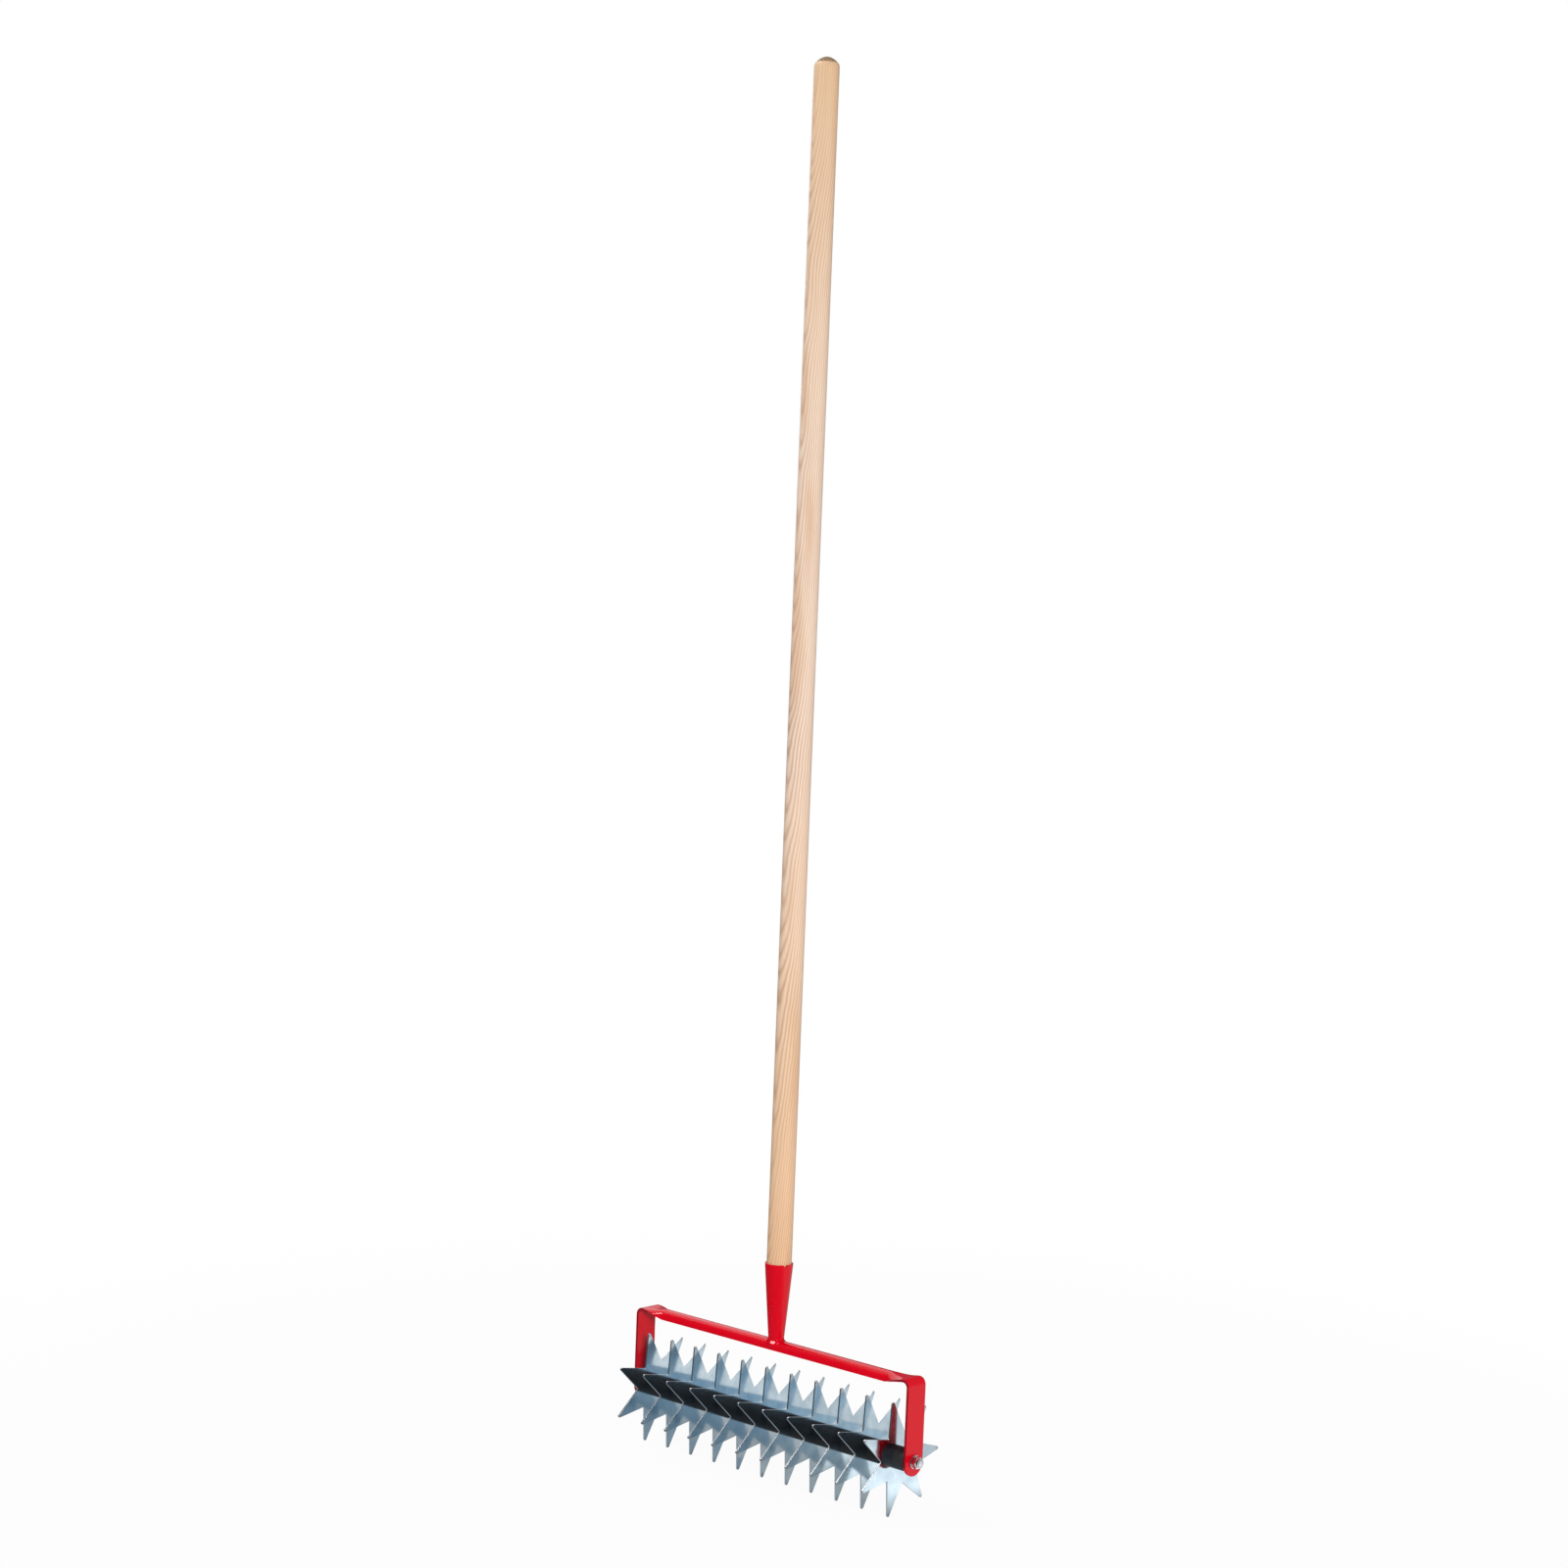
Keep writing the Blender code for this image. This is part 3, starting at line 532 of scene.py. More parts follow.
def zinc_fastener():
    """Turned and pressed steel under bright zinc: paler and greyer than the discs, with fine tool marks."""
    material, tree, place = new_material("bright_zinc_plated_steel")
    cloud = add(tree, "TexNoise", {"Vector": place, "Scale": 1 / (4 * MM), "Detail": 3})
    colour = add(tree, "Mix", {
        "Factor": cloud, "A": linear("C9CDD1"), "B": linear("E4E6E8"),
    }, data_type="RGBA")
    marks = add(tree, "TexNoise", {"Vector": place, "Scale": 1 / (0.5 * MM), "Detail": 2})
    roughness = add(tree, "MapRange", {"Value": marks, "To Min": 0.2, "To Max": 0.34})
    bump = add(tree, "Bump", {"Height": marks, "Strength": 0.3, "Distance": 0.03 * MM})
    return show(material, {"Base Color": colour, "Roughness": roughness, "Metallic": 1.0, "Normal": bump})


def black_tube():
    """Extruded polyethylene tube: near black and satin, with faint draw lines along it and a little dust."""
    material, tree, place = new_material("black_extruded_polyethylene")
    # Draw lines are 1.1 mm apart, which is as fine as the picture shows.
    lines = streaks(tree, place, (18, 900, 900), Detail=3)
    dust = add(tree, "TexNoise", {"Vector": place, "Scale": 1 / (14 * MM), "Detail": 3})
    colour = add(tree, "Mix", {
        "Factor": dust, "A": linear("2A2A2B"), "B": linear("3B3B3D"),
    }, data_type="RGBA")
    roughness = add(tree, "MapRange", {"Value": lines, "To Min": 0.5, "To Max": 0.65})
    bump = add(tree, "Bump", {"Height": lines, "Strength": 0.35, "Distance": 0.04 * MM})
    return show(material, {"Base Color": colour, "Roughness": roughness, "Normal": bump, "IOR": 1.5})


def drawn_steel():
    """Bare cold-drawn square tube: mid grey with lengthwise die lines and a thin film of oil."""
    material, tree, place = new_material("bare_drawn_steel")
    # Die lines are 0.8 mm apart.
    lines = streaks(tree, place, (12, 1200, 1200), Detail=4)
    colour = add(tree, "Mix", {
        "Factor": lines, "A": linear("8C8C8E"), "B": linear("B4B4B5"),
    }, data_type="RGBA")
    roughness = add(tree, "MapRange", {"Value": lines, "To Min": 0.3, "To Max": 0.5})
    return show(material, {"Base Color": colour, "Roughness": roughness, "Metallic": 1.0})


def nylon():
    """Moulded black nylon: matt, with the fine grain of a spark-eroded mould."""
    material, tree, place = new_material("black_moulded_nylon")
    grain = add(tree, "TexNoise", {"Vector": place, "Scale": 1 / (0.4 * MM), "Detail": 2})
    colour = add(tree, "Mix", {
        "Factor": grain, "A": linear("151515"), "B": linear("212122"),
    }, data_type="RGBA")
    bump = add(tree, "Bump", {"Height": grain, "Strength": 0.4, "Distance": 0.03 * MM})
    return show(material, {"Base Color": colour, "Roughness": 0.52, "Normal": bump, "IOR": 1.5})


# Handle
def turn_handle(wood):
    """The pole, tapered into its socket, and turned to a dome with a crease where the end grain starts."""
    side_top = HANDLE_TOP - DOME_HEIGHT
    handle = bar("ash_pole", HANDLE_RADIUS, (0, 0, HANDLE_BOTTOM), (0, 0, side_top), 96)
    taper_top = SOCKET_RIM + SEAT_GAP / SOCKET_SLOPE
    end_radius = socket_radius(HANDLE_BOTTOM) - SOCKET_WALL - SEAT_GAP
    edit(handle)
    score((0, 0, taper_top), (0, 0, 1))
    pick(handle, "VERT", lambda corner: corner.co.z < HANDLE_BOTTOM + NEAR)
    share = end_radius / HANDLE_RADIUS
    bpy.ops.transform.resize(value=(share, share, 1), center_override=(0, 0, HANDLE_BOTTOM))
    pick(handle, "EDGE", lambda rim: middle(rim).z < HANDLE_BOTTOM + NEAR)
    bpy.ops.mesh.bevel(offset=HANDLE_END_CHAMFER, segments=3)
    # The side rounds in to the crease, and the cap closes over it.
    side_steps = 8
    cap_steps = 12
    profile = []
    for step in range(1, side_steps + 1):
        turn = step / side_steps * math.pi / 2
        inward = (HANDLE_RADIUS - CAP_RADIUS) * (1 - math.cos(turn))
        profile.append((HANDLE_RADIUS - inward, side_top + (DOME_HEIGHT - CAP_HEIGHT) * math.sin(turn)))
    for step in range(1, cap_steps):
        share = step / cap_steps
        rise = CAP_HEIGHT * (1 - (1 - share) ** CAP_RISE_POWER)
        profile.append((CAP_RADIUS * (1 - share**CAP_CLOSING_POWER), HANDLE_TOP - CAP_HEIGHT + rise))
    pick(handle, "FACE", lambda face: face.calc_center_median().z > side_top - NEAR)
    radius = HANDLE_RADIUS
    height = side_top
    for next_radius, next_height in profile:
        share = next_radius / radius
        draw_out((0, 0, next_height - height), (share, share, 1), (0, 0, next_height))
        radius = next_radius
        height = next_height
    bpy.ops.mesh.poke()
    pick(handle, "VERT", lambda corner: corner.co.xy.length < TOUCHING and corner.co.z > side_top)
    bpy.ops.transform.translate(value=(0, 0, HANDLE_TOP - height))
    done()
    shade(handle, 28)
    drill_for_screw(handle, SCREW_HOLE_END)
    finish_piece(handle, wood, "handle")


def drill_for_screw(piece, end):
    """Cuts the screw's hole into a piece from the user's side, as far back as its end."""
    before_user = -2 * HANDLE_RADIUS
    drill = bar(
        "drill", SCREW_RADIUS + SEAT_GAP, (0, before_user, SCREW_HEIGHT), (0, end, SCREW_HEIGHT), 24,
    )
    combine(piece, drill, "DIFFERENCE")


# Socket
def socket_radius(height):
    """Outer radius of the socket's cone at a height."""
    return SOCKET_BASE_RADIUS + (height - CROWN) * SOCKET_SLOPE


def crown_drop(across):
    """How far the trough's top has dropped at a distance from its middle, up to near its upright sides."""
    beyond = min(max(0, abs(across) - TROUGH_FLAT / 2), 0.99 * TROUGH_OUTER_RADIUS)
    return TROUGH_OUTER_RADIUS - math.sqrt(TROUGH_OUTER_RADIUS**2 - beyond**2)


def roll_socket(paint):
    """A cone rolled from sheet, notched at its rim and cut at its foot to sit on the trough."""
    foot = CROWN - 6 * MM
    bpy.ops.mesh.primitive_cone_add(
        vertices=128, radius1=socket_radius(foot), radius2=SOCKET_RIM_RADIUS, depth=SOCKET_RIM - foot,
        end_fill_type="NOTHING", location=(0, 0, (SOCKET_RIM + foot) / 2),
    )
    socket = start("rolled_socket")
    edit(socket)
    # Rings beside the notch, the screw and the foot keep the shading even round them.
    beside_screw = 3 * MM
    for ring in (
        SOCKET_RIM - NOTCH_DEPTH - OVERRUN, SCREW_HEIGHT + beside_screw, SCREW_HEIGHT - beside_screw,
        CROWN + 2 * MM,
    ):
        score((0, 0, ring), (0, 0, 1))
    done()
    modify(socket, "SOLIDIFY", thickness=SOCKET_WALL, offset=-1, use_even_offset=True)
    to_end = Vector((30 * MM, 0, 0))
    saddle_middle = Vector((0, 0, CROWN - TROUGH_OUTER_RADIUS))
    saddle = bar("saddle", TROUGH_OUTER_RADIUS, saddle_middle - to_end, saddle_middle + to_end, 96)
    edit(saddle)
    for side in (1, -1):
        pick(saddle, "VERT", lambda corner: corner.co.y * side > TOUCHING)
        bpy.ops.transform.translate(value=(0, side * TROUGH_FLAT / 2, 0))
    done()
    combine(socket, saddle, "DIFFERENCE")
    edit(socket)
    score((0, 0, foot + OVERRUN), (0, 0, -1), clear_outer=True, use_fill=True)
    done()
    outward = Vector((math.cos(NOTCH_ANGLE), math.sin(NOTCH_ANGLE), 0))
    reach = 6 * MM
    wedge = bar("notch", 1, outward * (SOCKET_RIM_RADIUS - reach), outward * (SOCKET_RIM_RADIUS + reach), 3)
    edit(wedge)
    shape = bmesh.from_edit_mesh(wedge.data)
    sideways = Vector((-outward.y, outward.x, 0))
    # The three long edges become the notch's point and its two upper corners.
    wide = NOTCH_WIDTH / 2 * (NOTCH_DEPTH + OVERRUN) / NOTCH_DEPTH
    for corner in shape.verts:
        along = corner.co.dot(outward)
        to_side = corner.co.dot(sideways)
        if abs(to_side) < 0.1:
            corner.co = outward * along + Vector((0, 0, SOCKET_RIM - NOTCH_DEPTH))
        else:
            shift = math.copysign(wide, to_side)
            corner.co = outward * along + sideways * shift + Vector((0, 0, SOCKET_RIM + OVERRUN))
    bmesh.update_edit_mesh(wedge.data)
    bpy.ops.mesh.select_all(action="SELECT")
    bpy.ops.mesh.normals_make_consistent(inside=False)
    done()
    combine(socket, wedge, "DIFFERENCE")
    drill_for_screw(socket, 0)
    bevel_edges(socket, SOCKET_EDGE, 4, lambda rim: (
        middle(rim).z > SOCKET_RIM - NOTCH_DEPTH - 2 * NEAR
        and len(rim.link_faces) == 2
        and rim.calc_face_angle() > math.radians(35)
    ))
    shade(socket, 35)
    finish_piece(socket, paint, "socket")


def on_trough(along, around):
    """A point of the trough's outer face, and its normal, from its distance round the section."""
    side = math.copysign(1, around)
    turn = max(0, abs(around) - TROUGH_FLAT / 2) / TROUGH_OUTER_RADIUS
    across = min(abs(around), TROUGH_FLAT / 2) + TROUGH_OUTER_RADIUS * math.sin(turn)
    point = Vector((along, side * across, CROWN - TROUGH_OUTER_RADIUS * (1 - math.cos(turn))))
    return point, Vector((0, side * math.sin(turn), math.cos(turn)))


def piled_at(angle):
    """How far the bead is piled up at an angle round the socket, from 0 to 1."""
    from_end = math.remainder(angle - WELD_END_ANGLE, 2 * math.pi)
    return math.exp(-(from_end / WELD_END_WIDTH) ** 4)


def weld_point(around, across):
    """A point of the weld's face: round the socket's foot by one share, and from the cone down to the
    trough by the other."""
    angle = around * 2 * math.pi
    outward = Vector((math.cos(angle), math.sin(angle), 0))
    # The bead piles up where it was closed, and is hollow elsewhere.
    piled = piled_at(angle)
    # The vectors added in the noise only choose which lumps come up.
    uneven = 1 + 0.3 * noise.noise(outward * 1.7 + Vector((3.1, 0.4, 7.7)))
    foot = outward * SOCKET_BASE_RADIUS
    foot.z = CROWN - crown_drop(foot.y)
    foot_arc = abs(foot.y)
    if foot_arc > TROUGH_FLAT / 2:
        beyond = (foot_arc - TROUGH_FLAT / 2) / TROUGH_OUTER_RADIUS
        foot_arc = TROUGH_FLAT / 2 + TROUGH_OUTER_RADIUS * math.asin(beyond)
    top_height = foot.z + WELD_RISE * uneven
    top = outward * (socket_radius(top_height) + WELD_PROUD)
    top.z = top_height
    reach = WELD_REACH * uneven
    arc = math.copysign(foot_arc + reach * abs(outward.y), outward.y)
    bottom, normal = on_trough(foot.x + reach * outward.x, arc)
    bottom += normal * WELD_PROUD
    # Hollow, the curve is drawn towards the foot. Piled up, it runs down at 45 degrees, then turns under.
    hollow = foot.lerp((top + bottom) / 2, 0.3)
    brow = top + (outward - Vector((0, 0, 1))).normalized() * WELD_BROW
    drawn_to = hollow.lerp(brow, piled)
    early = top.lerp(drawn_to, 0.75)
    late = bottom.lerp(drawn_to, 0.75)
    point = (
        top * (1 - across) ** 3 + early * 3 * across * (1 - across) ** 2
        + late * 3 * across**2 * (1 - across) + bottom * across**3
    )
    lift = ((top + bottom) / 2 - foot).normalized()
    lump = noise.noise(point / WELD_LUMP_SIZE + Vector((0.3, 5.2, 1.9)))
    return point + lift * (WELD_LUMP * lump * (1 - 0.7 * piled) * math.sin(across * math.pi))


def lay_weld(paint):
    """The fillet round the socket's foot: hollow across, lumpy along, with its skin sunk in both pieces."""
    bpy.ops.mesh.primitive_grid_add(x_subdivisions=160, y_subdivisions=14, size=1)
    weld = start("weld_fillet")
    end_corners = []
    for corner in weld.data.vertices:
        around = corner.co.x + 0.5
        corner.co = weld_point(around, 0.5 - corner.co.y)
        piled = piled_at(around * 2 * math.pi)
        if piled > 0.2:
            end_corners.append((corner, piled))
    # The bead ends in a flat crater, which catches the light.
    crest = max(corner.co.dot(CRATER_FACING) for corner, piled in end_corners if piled > 0.9)
    for corner, piled in end_corners:
        over = corner.co.dot(CRATER_FACING) - crest + CRATER_DEPTH
        if over > 0:
            corner.co -= CRATER_FACING * over * min(1, 1.7 * piled)
    edit(weld)
    bpy.ops.mesh.remove_doubles(threshold=TOUCHING / 10)
    done()
    modify(weld, "SOLIDIFY", thickness=WELD_SKIN, offset=-1)
    shade(weld, 50)
    finish_piece(weld, paint, "socket_weld")


# Yoke
def smooth(share):
    """Eases a share from 0 to 1 in and out."""
    return share * share * (3 - 2 * share)


def formed(flat_point):
    """Where a point of the flat strip's outer face lies once the strip is pressed and bent."""
    run = abs(flat_point.x)
    across = abs(flat_point.y)
    from_bend = max(0, BEND_START - run)
    share = min(1, from_bend / FORMED_LENGTH)
    closing = smooth(min(1, max(0, from_bend - SHOULDER_LENGTH) / TRANSITION_LENGTH))
    angle = TROUGH_ANGLE * share**CLOSING_POWER
    flat = SHOULDER_FLAT + closing * (TROUGH_FLAT - SHOULDER_FLAT)
    drop = 0
    if angle > 0 and across > flat / 2:
        radius = (STRIP_WIDTH - flat) / angle + STRIP_THICKNESS / 2
        turn = (across - flat / 2) / (STRIP_WIDTH - flat) * angle
        across = flat / 2 + radius * math.sin(turn)
        drop = radius * (1 - math.cos(turn))
    if run <= BEND_START:
        along = run
        height = SHOULDER_TOP + closing * SHOULDER_DROP - drop
    elif run <= ARM_START:
        around = (run - BEND_START) / BEND_OUTER_RADIUS
        along = BEND_START + BEND_OUTER_RADIUS * math.sin(around)
        height = SHOULDER_TOP - BEND_OUTER_RADIUS * (1 - math.cos(around))
    else:
        along = ARM_OUTER_FACE
        height = SHOULDER_TOP - BEND_OUTER_RADIUS - (run - ARM_START)
    return Vector((math.copysign(along, flat_point.x), math.copysign(across, flat_point.y), height))


def press_yoke(paint):
    """The strip is cut with round ends, scored for the press, formed, and given its thickness and holes."""
    bpy.ops.mesh.primitive_plane_add(size=1)
    yoke = bpy.context.object
    yoke.scale = (2 * STRIP_HALF_LENGTH, STRIP_WIDTH, 1)
    yoke = start("bent_strip_yoke")
    edit(yoke)
    bpy.ops.mesh.select_mode(type="VERT")
    bpy.ops.mesh.bevel(offset=STRIP_WIDTH / 2, segments=28, affect="VERTICES", clamp_overlap=False)
    bpy.ops.mesh.select_all(action="SELECT")
    bpy.ops.mesh.remove_doubles(threshold=TOUCHING)
    # Cross lines are closest where the strip is formed and bent, and lengthwise ones are 1.25 mm apart.
    formed_steps = 28
    bend_steps = 18
    stations = [20 * MM * step for step in range(10)]
    stations += [BEND_START - FORMED_LENGTH * step / formed_steps for step in range(formed_steps + 1)]
    stations += [BEND_START + BEND_LENGTH * step / bend_steps for step in range(1, bend_steps + 1)]
    stations += [ARM_START + 15 * MM * step for step in range(1, 7)]
    for station in stations:
        for side in (1, -1):
            score((side * station, 0, 0), (1, 0, 0))
    for step in range(-11, 12):
        score((0, step * 1.25 * MM, 0), (0, 1, 0))
    bpy.ops.mesh.select_all(action="SELECT")
    bpy.ops.mesh.remove_doubles(threshold=TOUCHING)
    bpy.ops.mesh.normals_make_consistent(inside=False)
    done()
    if yoke.data.polygons[0].normal.z < 0:
        yoke.data.flip_normals()
    for corner in yoke.data.vertices:
        corner.co = formed(corner.co)
    modify(yoke, "SOLIDIFY", thickness=STRIP_THICKNESS, offset=-1, use_even_offset=True)
    reach = ARM_OUTER_FACE + 10 * MM
    hole = bar("axle_hole", AXLE_RADIUS + BORE_CLEARANCE, on_axle(-reach), on_axle(reach))
    combine(yoke, hole, "DIFFERENCE")
    round_edges(yoke, STRIP_EDGE)
    finish_piece(yoke, paint, "yoke")


# Axle and its fasteners
def turn_axle(zinc):
    """The axle, with its ends chamfered."""
    axle = bar("threaded_axle", AXLE_RADIUS, on_axle(-AXLE_HALF_LENGTH), on_axle(AXLE_HALF_LENGTH), 48)
    bevel_edges(axle, AXLE_CHAMFER, 3, lambda rim: abs(middle(rim).x) > AXLE_HALF_LENGTH - NEAR)
    shade(axle, 32)
    finish_piece(axle, zinc, "axle_rod")


def make_nut(zinc):
    """An all-metal lock nut: a hexagon with turned-down corners, and a collar crimped on the thread."""
    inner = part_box("nut_right")[0].x
    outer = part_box("nut_right")[1].x
    hex_end = inner + NUT_HEX_HEIGHT
    corner_radius = NUT_ACROSS_FLATS / math.sqrt(3)
    nut = bar("lock_nut_right", corner_radius, on_axle(inner), on_axle(hex_end), 6)
    edit(nut)
    bpy.ops.transform.rotate(value=math.pi / 6, orient_axis="X", center_override=on_axle(0))
    done()
    turned_start = on_axle(inner + NUT_CHAMFER_RISE)
    turned = bar("turned_down", corner_radius, turned_start, on_axle(hex_end - NUT_CHAMFER_RISE), 96)
    edit(turned)
    for side, face_x in ((-1, inner), (1, hex_end)):
        pick(turned, "FACE", lambda face: face.normal.x * side > 0.9)
        share = NUT_FACE_RADIUS / corner_radius
        draw_out((side * NUT_CHAMFER_RISE, 0, 0), (1, share, share), on_axle(face_x))
    done()
    combine(nut, turned, "INTERSECT")
    collar = bar("collar", NUT_COLLAR_RADIUS, on_axle(hex_end - OVERRUN), on_axle(outer), 96)
    bevel_edges(collar, NUT_COLLAR_ROUNDING, 6, lambda rim: middle(rim).x > outer - NEAR)
    combine(nut, collar, "UNION")
    bore = bar("bore", AXLE_RADIUS + BORE_CLEARANCE, on_axle(inner - OVERRUN), on_axle(outer + OVERRUN))
    combine(nut, bore, "DIFFERENCE")
    round_edges(nut, NUT_EDGE, 2)
    finish_pair(nut, zinc, "nut")


def tube(name, outer_radius, wall, low_x, high_x, sides=64):
    """A tube along the axle."""
    piece = bar(name, outer_radius, on_axle(low_x), on_axle(high_x), sides, "NOTHING")
    modify(piece, "SOLIDIFY", thickness=wall, offset=-1, use_even_offset=True)
    return piece


def press_washers(zinc):
    """Plain M8 washers, two outside the arms under the nuts, and two inside next to the roller."""
    for kind in ("outer_washer", "inner_washer"):
        low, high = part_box(f"{kind}_right")
        wall = high.y - AXLE_RADIUS - BORE_CLEARANCE
        washer = tube(f"{kind}_plate_right", high.y, wall, low.x, high.x)
        round_edges(washer, WASHER_EDGE)
        finish_pair(washer, zinc, kind)


def make_screw(paint):
    """The slotted raised-head screw that keeps the handle in its socket, enamelled with it."""
    head_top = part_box("handle_screw")[0].y
    seat = head_top + SCREW_HEAD_HEIGHT
    centre = Vector((0, 0, SCREW_HEIGHT))
    shank_end = centre + Vector((0, seat + SCREW_LENGTH - SCREW_POINT, 0))
    screw = bar("slotted_screw", SCREW_RADIUS, shank_end, centre + Vector((0, seat, 0)), 32)
    edit(screw)
    pick(screw, "FACE", lambda face: face.normal.y > 0.9)
    draw_out((0, SCREW_POINT, 0), (0.05, 1, 0.05), centre)
    # The head widens from the shank at once, has an upright rim, and is domed above it.
    pick(screw, "FACE", lambda face: face.normal.y < -0.9)
    wide = SCREW_HEAD_RADIUS / SCREW_RADIUS
    draw_out((0, 0, 0), (wide, 1, wide), centre)
    draw_out((0, -SCREW_HEAD_RIM, 0), (1, 1, 1), centre)
    radius = 1
    depth = SCREW_HEAD_RIM
    head_steps = 6
    for step in range(1, head_steps):
        turn = step / head_steps * math.pi / 2
        next_depth = SCREW_HEAD_RIM + (SCREW_HEAD_HEIGHT - SCREW_HEAD_RIM) * math.sin(turn)
        share = math.cos(turn) / radius
        draw_out((0, depth - next_depth, 0), (share, 1, share), centre)
        radius = math.cos(turn)
        depth = next_depth
    done()
    bpy.ops.mesh.primitive_cube_add(
        size=1, location=(0, head_top, SCREW_HEIGHT), rotation=(0, SCREW_SLOT_TURN, 0),
    )
    bpy.context.object.scale = (2 * SCREW_HEAD_RADIUS + OVERRUN, 2 * SCREW_SLOT_DEPTH, SCREW_SLOT)
    combine(screw, start("slot"), "DIFFERENCE")
    shade(screw, 35)
    finish_piece(screw, paint, "handle_screw")


# Roller
def punch_disc():
    """One star disc, flat at first: its teeth with round tips, a square hole, and broken edges."""
    half_pitch = math.pi / TOOTH_COUNT
    # The teeth's straight flanks meet beyond the rounded tip.
    valley = Vector((VALLEY_RADIUS * math.cos(half_pitch), VALLEY_RADIUS * math.sin(half_pitch)))
    centre = TIP_RADIUS - TIP_ROUNDING
    flank = valley - Vector((centre, 0))
    lean = math.atan2(flank.y, -flank.x) - math.asin(TIP_ROUNDING / flank.length)
    point_radius = centre + TIP_ROUNDING / math.sin(lean)
    nose = (point_radius - TIP_RADIUS) * math.tan(lean)
    bpy.ops.mesh.primitive_circle_add(
        vertices=2 * TOOTH_COUNT, radius=VALLEY_RADIUS, fill_type="NGON", rotation=(0, 0, FIRST_TOOTH_ANGLE),
    )
    disc = start("star_disc")
    edit(disc)

    def teeth_from_first(point):
        """How many half pitches a point is turned from the first tooth."""
        return (math.atan2(point.y, point.x) - FIRST_TOOTH_ANGLE - math.pi / 2) / half_pitch

    pick(disc, "VERT", lambda corner: round(teeth_from_first(corner.co)) % 2 == 0)
    share = point_radius / VALLEY_RADIUS
    bpy.ops.transform.resize(value=(share, share, 1), center_override=(0, 0, 0))
    for tooth in range(TOOTH_COUNT):
        angle = FIRST_TOOTH_ANGLE + math.pi / 2 + tooth * 2 * half_pitch
        direction = Vector((math.cos(angle), math.sin(angle), 0))
        score(direction * TIP_RADIUS, direction, clear_outer=True)
    pick(disc, "VERT", lambda corner: corner.co.length > centre)
    bpy.ops.mesh.bevel(offset=0.99 * nose, segments=4, affect="VERTICES")
    pick(disc, "VERT", lambda corner: corner.co.length < VALLEY_RADIUS + NEAR)
    bpy.ops.mesh.bevel(offset=VALLEY_ROUNDING, segments=3, affect="VERTICES")
    done()
    # The disc is stood up on the axle's line.
    disc.rotation_euler = (0, math.pi / 2, 0)
    disc.location = on_axle(0)
    settle(disc)
    modify(disc, "SOLIDIFY", thickness=DISC_THICKNESS, offset=0)
    bpy.ops.mesh.primitive_cube_add(size=1, location=on_axle(0))
    bpy.context.object.scale = (2 * DISC_THICKNESS, CORE_HOLE, CORE_HOLE)
    hole = start("square_hole")
    bevel_edges(hole, CORE_HOLE_CORNER, 4, lambda corner: (
        abs((corner.verts[0].co - corner.verts[1].co).x) > DISC_THICKNESS
    ))
    combine(disc, hole, "DIFFERENCE")
    round_edges(disc, DISC_EDGE, 2)
    return disc


def assemble_roller(zinc, plastic):
    """The discs in step, with tube spacers between them and outside the end ones."""
    finish_row(punch_disc(), "star_plate", DISC_COUNT, zinc, "star_disc")
    half = (DISC_PITCH - DISC_THICKNESS) / 2 - SPACER_REST
    spacer = tube("spacer", SPACER_RADIUS, SPACER_WALL, -half, half, 72)
    round_edges(spacer, SPACER_EDGE, 2)
    finish_row(spacer, "tube_spacer", DISC_COUNT - 1, plastic, "spacer")
    outer_disc_face = (DISC_COUNT - 1) / 2 * DISC_PITCH + DISC_THICKNESS / 2
    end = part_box("spacer_end_right")[1].x
    right = tube("tube_spacer_end_right", SPACER_RADIUS, SPACER_WALL, outer_disc_face + SPACER_REST, end, 72)
    round_edges(right, SPACER_EDGE, 2)
    finish_pair(right, plastic, "spacer_end", "roller")


def repaint(node, material):
    """A CAD node whose shape is right keeps it and gets a finer material."""
    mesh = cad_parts[node].data
    mesh.materials.clear()
    mesh.materials.append(material)


# Studio
def lit_side(tree, direction):
    """The share of the bright side, to the right behind the tool, in a direction from it."""
    level = add(tree, "VectorMath", {0: direction, 1: (1, 1, 0)}, operation="MULTIPLY")
    unit = add(tree, "VectorMath", {0: level}, operation="NORMALIZE")
    facing = add(tree, "VectorMath", {0: unit, 1: BRIGHT_SIDE}, operation="DOT_PRODUCT")
    return add(tree, "MapRange", {
        "Value": facing, "From Min": 0.25, "From Max": 0.85,
    }, interpolation_type="SMOOTHSTEP")


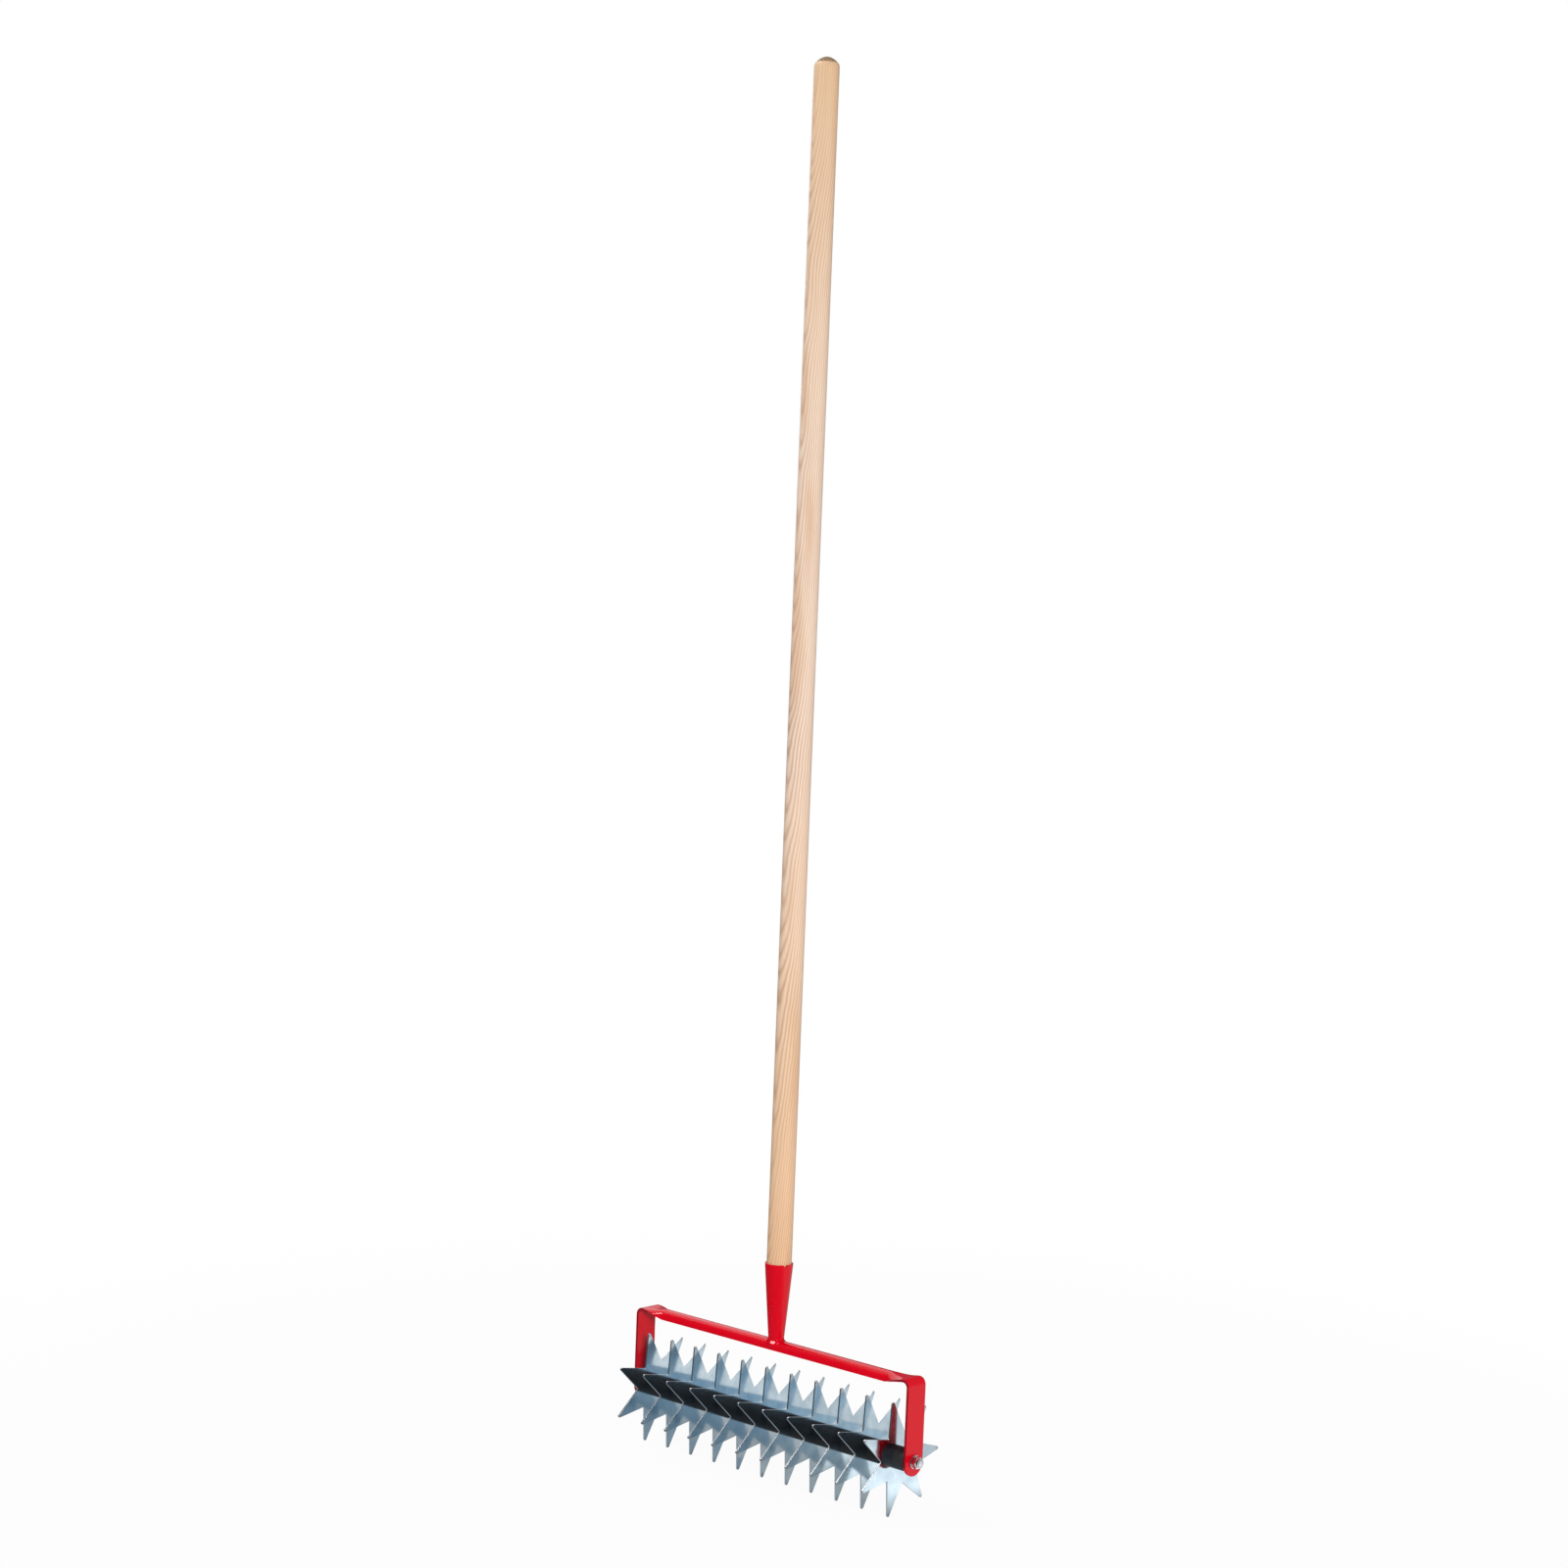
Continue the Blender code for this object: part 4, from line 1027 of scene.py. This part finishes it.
def hang_world():
    """A white backdrop for the camera. Reflections see it bright to the right, blue-grey straight behind
    the tool, and a dim room before it. The walls' light on the tool is even."""
    world = bpy.data.worlds.new("white_studio")
    bpy.context.scene.world = world
    world.use_nodes = True
    tree = world.node_tree
    tree.nodes.clear()
    path = add(tree, "LightPath")
    around = add(tree, "TexCoord").outputs["Generated"]
    direction = add(tree, "SeparateXYZ", {"Vector": around})
    lit = lit_side(tree, around)
    # The walls turn grey from just before the tool to behind it, and all darken upwards.
    behind = add(tree, "MapRange", {
        "Value": direction.outputs["Y"], "From Min": -0.15, "From Max": 0.45, "To Max": GREY_BEHIND,
    }, interpolation_type="SMOOTHSTEP")
    bright = add(tree, "Math", {0: behind, 1: lit}, operation="MAXIMUM")
    low = add(tree, "MapRange", {
        "Value": direction.outputs["Z"], "From Min": 0.1, "From Max": 0.85, "To Min": 1.0, "To Max": 0.3,
    }, interpolation_type="SMOOTHSTEP")
    backdrop = add(tree, "Math", {0: bright, 1: low}, operation="MULTIPLY")
    mirrored = add(tree, "MapRange", {
        "Value": backdrop, "To Min": ROOM_MIRRORED, "To Max": BACKDROP_MIRRORED,
    })
    glossy = path.outputs["Is Glossy Ray"]
    on_tool = add(tree, "Mix", {"Factor": glossy, "A": WORLD_LIGHT, "B": mirrored})
    seen = add(tree, "Math", {
        0: path.outputs["Is Camera Ray"], 1: path.outputs["Is Transmission Ray"],
    }, operation="MAXIMUM")
    strength = add(tree, "Mix", {"Factor": seen, "A": on_tool, "B": 1.0})
    wall = add(tree, "Mix", {"Factor": lit, "A": linear("A6BFD8"), "B": grey(1.0)}, data_type="RGBA")
    colour = add(tree, "Mix", {"Factor": glossy, "A": grey(1.0), "B": wall}, data_type="RGBA")
    background = add(tree, "Background", {"Color": colour, "Strength": strength})
    add(tree, "OutputWorld", {"Surface": background})


def lay_floor():
    """A pale floor that reads as white, and still takes the tool's shadow."""
    bpy.ops.mesh.primitive_plane_add(size=60, location=(0, 0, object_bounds()[0].z))
    floor = start("floor")
    material, tree, place = new_material("white_sweep")
    path = add(tree, "LightPath")
    seen = add(tree, "Math", {
        0: path.outputs["Is Camera Ray"], 1: path.outputs["Is Glossy Ray"],
    }, operation="MAXIMUM")
    distance = add(tree, "VectorMath", {0: place}, operation="LENGTH")
    spot = add(tree, "SeparateXYZ", {"Vector": place})
    # Reflections see the paper dark before the tool, half lit under it, and blue-grey close round it. On the
    # bright side it is shaded along the roller, bright beyond its end, and paler further back. Only the
    # paper near the tool needs to take a shadow: further out it glows like the backdrop. Each share eases
    # between two distances or places, from its first value to its last.
    shares = {}
    for name, measure, start_at, end_at, first, last in (
        ("beside", distance, 0.7, 0.3, 0, 0.85),
        ("not_before", spot.outputs["Y"], -0.12, -0.04, 0.12, 1),
        ("not_under", spot.outputs["Y"], 0.08, 0.25, 0.5, 1),
        ("behind", spot.outputs["Y"], 0.08, 0.25, 0, 1),
        ("along_roller", spot.outputs["X"], 0.19, 0.27, 0.38, 1.3),
        ("further_back", spot.outputs["X"], 0.3, 0.5, 0.64, 0.92),
        ("glowing", distance, SHADOW_REACH / 2, SHADOW_REACH, FLOOR_GLOW, 1),
    ):
        shares[name] = add(tree, "MapRange", {
            "Value": measure, "From Min": start_at, "From Max": end_at, "To Min": first, "To Max": last,
        }, interpolation_type="SMOOTHSTEP")
    open_paper = add(tree, "Math", {0: shares["not_before"], 1: shares["not_under"]}, operation="MINIMUM")
    near = add(tree, "Math", {0: shares["beside"], 1: open_paper}, operation="MULTIPLY")
    unshaded = add(tree, "Mix", {
        "Factor": shares["behind"], "A": shares["along_roller"], "B": shares["further_back"],
    })
    lit = lit_side(tree, place)
    lit_paper = add(tree, "Math", {0: lit, 1: unshaded}, operation="MULTIPLY")
    paper_share = add(tree, "Math", {0: lit_paper, 1: near}, operation="MAXIMUM")
    mirrored = add(tree, "MapRange", {
        "Value": paper_share, "To Min": ROOM_MIRRORED, "To Max": FLOOR_MIRRORED,
    }, clamp=False)
    glossy = path.outputs["Is Glossy Ray"]
    brightness = add(tree, "Mix", {"Factor": glossy, "A": 1.0, "B": mirrored})
    tint = add(tree, "Mix", {"Factor": lit, "A": linear("D0E0EC"), "B": grey(1.0)}, data_type="RGBA")
    colour = add(tree, "Mix", {"Factor": glossy, "A": grey(1.0), "B": tint}, data_type="RGBA")
    glow = add(tree, "Emission", {"Color": colour, "Strength": brightness})
    glow_share = add(tree, "Math", {0: seen, 1: shares["glowing"]}, operation="MULTIPLY")
    paper = add(tree, "BsdfDiffuse", {"Color": grey(PAPER_GREY)})
    add(tree, "OutputMaterial", {"Surface": add(tree, "MixShader", {0: glow_share, 1: paper, 2: glow})})
    floor.data.materials.append(material)


def hang_light(name, place, target, size, power, mirrored=True):
    """A square soft box aimed at a point. One that only fills isn't mirrored in the pieces."""
    lamp = bpy.data.lights.new(name, "AREA")
    lamp.size = size
    lamp.energy = power
    box = bpy.data.objects.new(name, lamp)
    box.visible_glossy = mirrored
    box.location = place
    box.rotation_euler = (Vector(target) - Vector(place)).to_track_quat("-Z", "Y").to_euler()
    bpy.context.scene.collection.objects.link(box)


def set_camera():
    lens = bpy.data.cameras.new("camera")
    lens.lens = CAMERA_LENS
    lens.sensor_width = CAMERA_SENSOR
    camera = bpy.data.objects.new("camera", lens)
    camera.location = CAMERA_PLACE
    camera.rotation_euler = [math.radians(angle) for angle in CAMERA_ANGLES]
    bpy.context.scene.collection.objects.link(camera)
    bpy.context.scene.camera = camera


bpy.ops.object.select_all(action="DESELECT")
set_camera()
paint = enamel()
bright_zinc = zinc_fastener()
black_nylon = nylon()
turn_handle(ash())
roll_socket(paint)
lay_weld(paint)
press_yoke(paint)
turn_axle(bright_zinc)
make_nut(bright_zinc)
press_washers(bright_zinc)
make_screw(paint)
assemble_roller(zinc_sheet(), black_tube())
repaint("core_tube", drawn_steel())
repaint("end_bush_left", black_nylon)
repaint("end_bush_right", black_nylon)
hang_world()
lay_floor()
hang_light("overhead", place=(-1.39, -1.24, 3.17), target=(0, 0, 0.2), size=0.56, power=36)
hang_light("key", place=(3.9, -2.5, 1.7), target=(0, 0, 0.5), size=1.6, power=160, mirrored=False)
hang_light("left box", place=(-2.2, 1.0, 2.05), target=(0, 0, 0.17), size=2.7, power=32)
bpy.context.scene.view_settings.view_transform = "Standard"
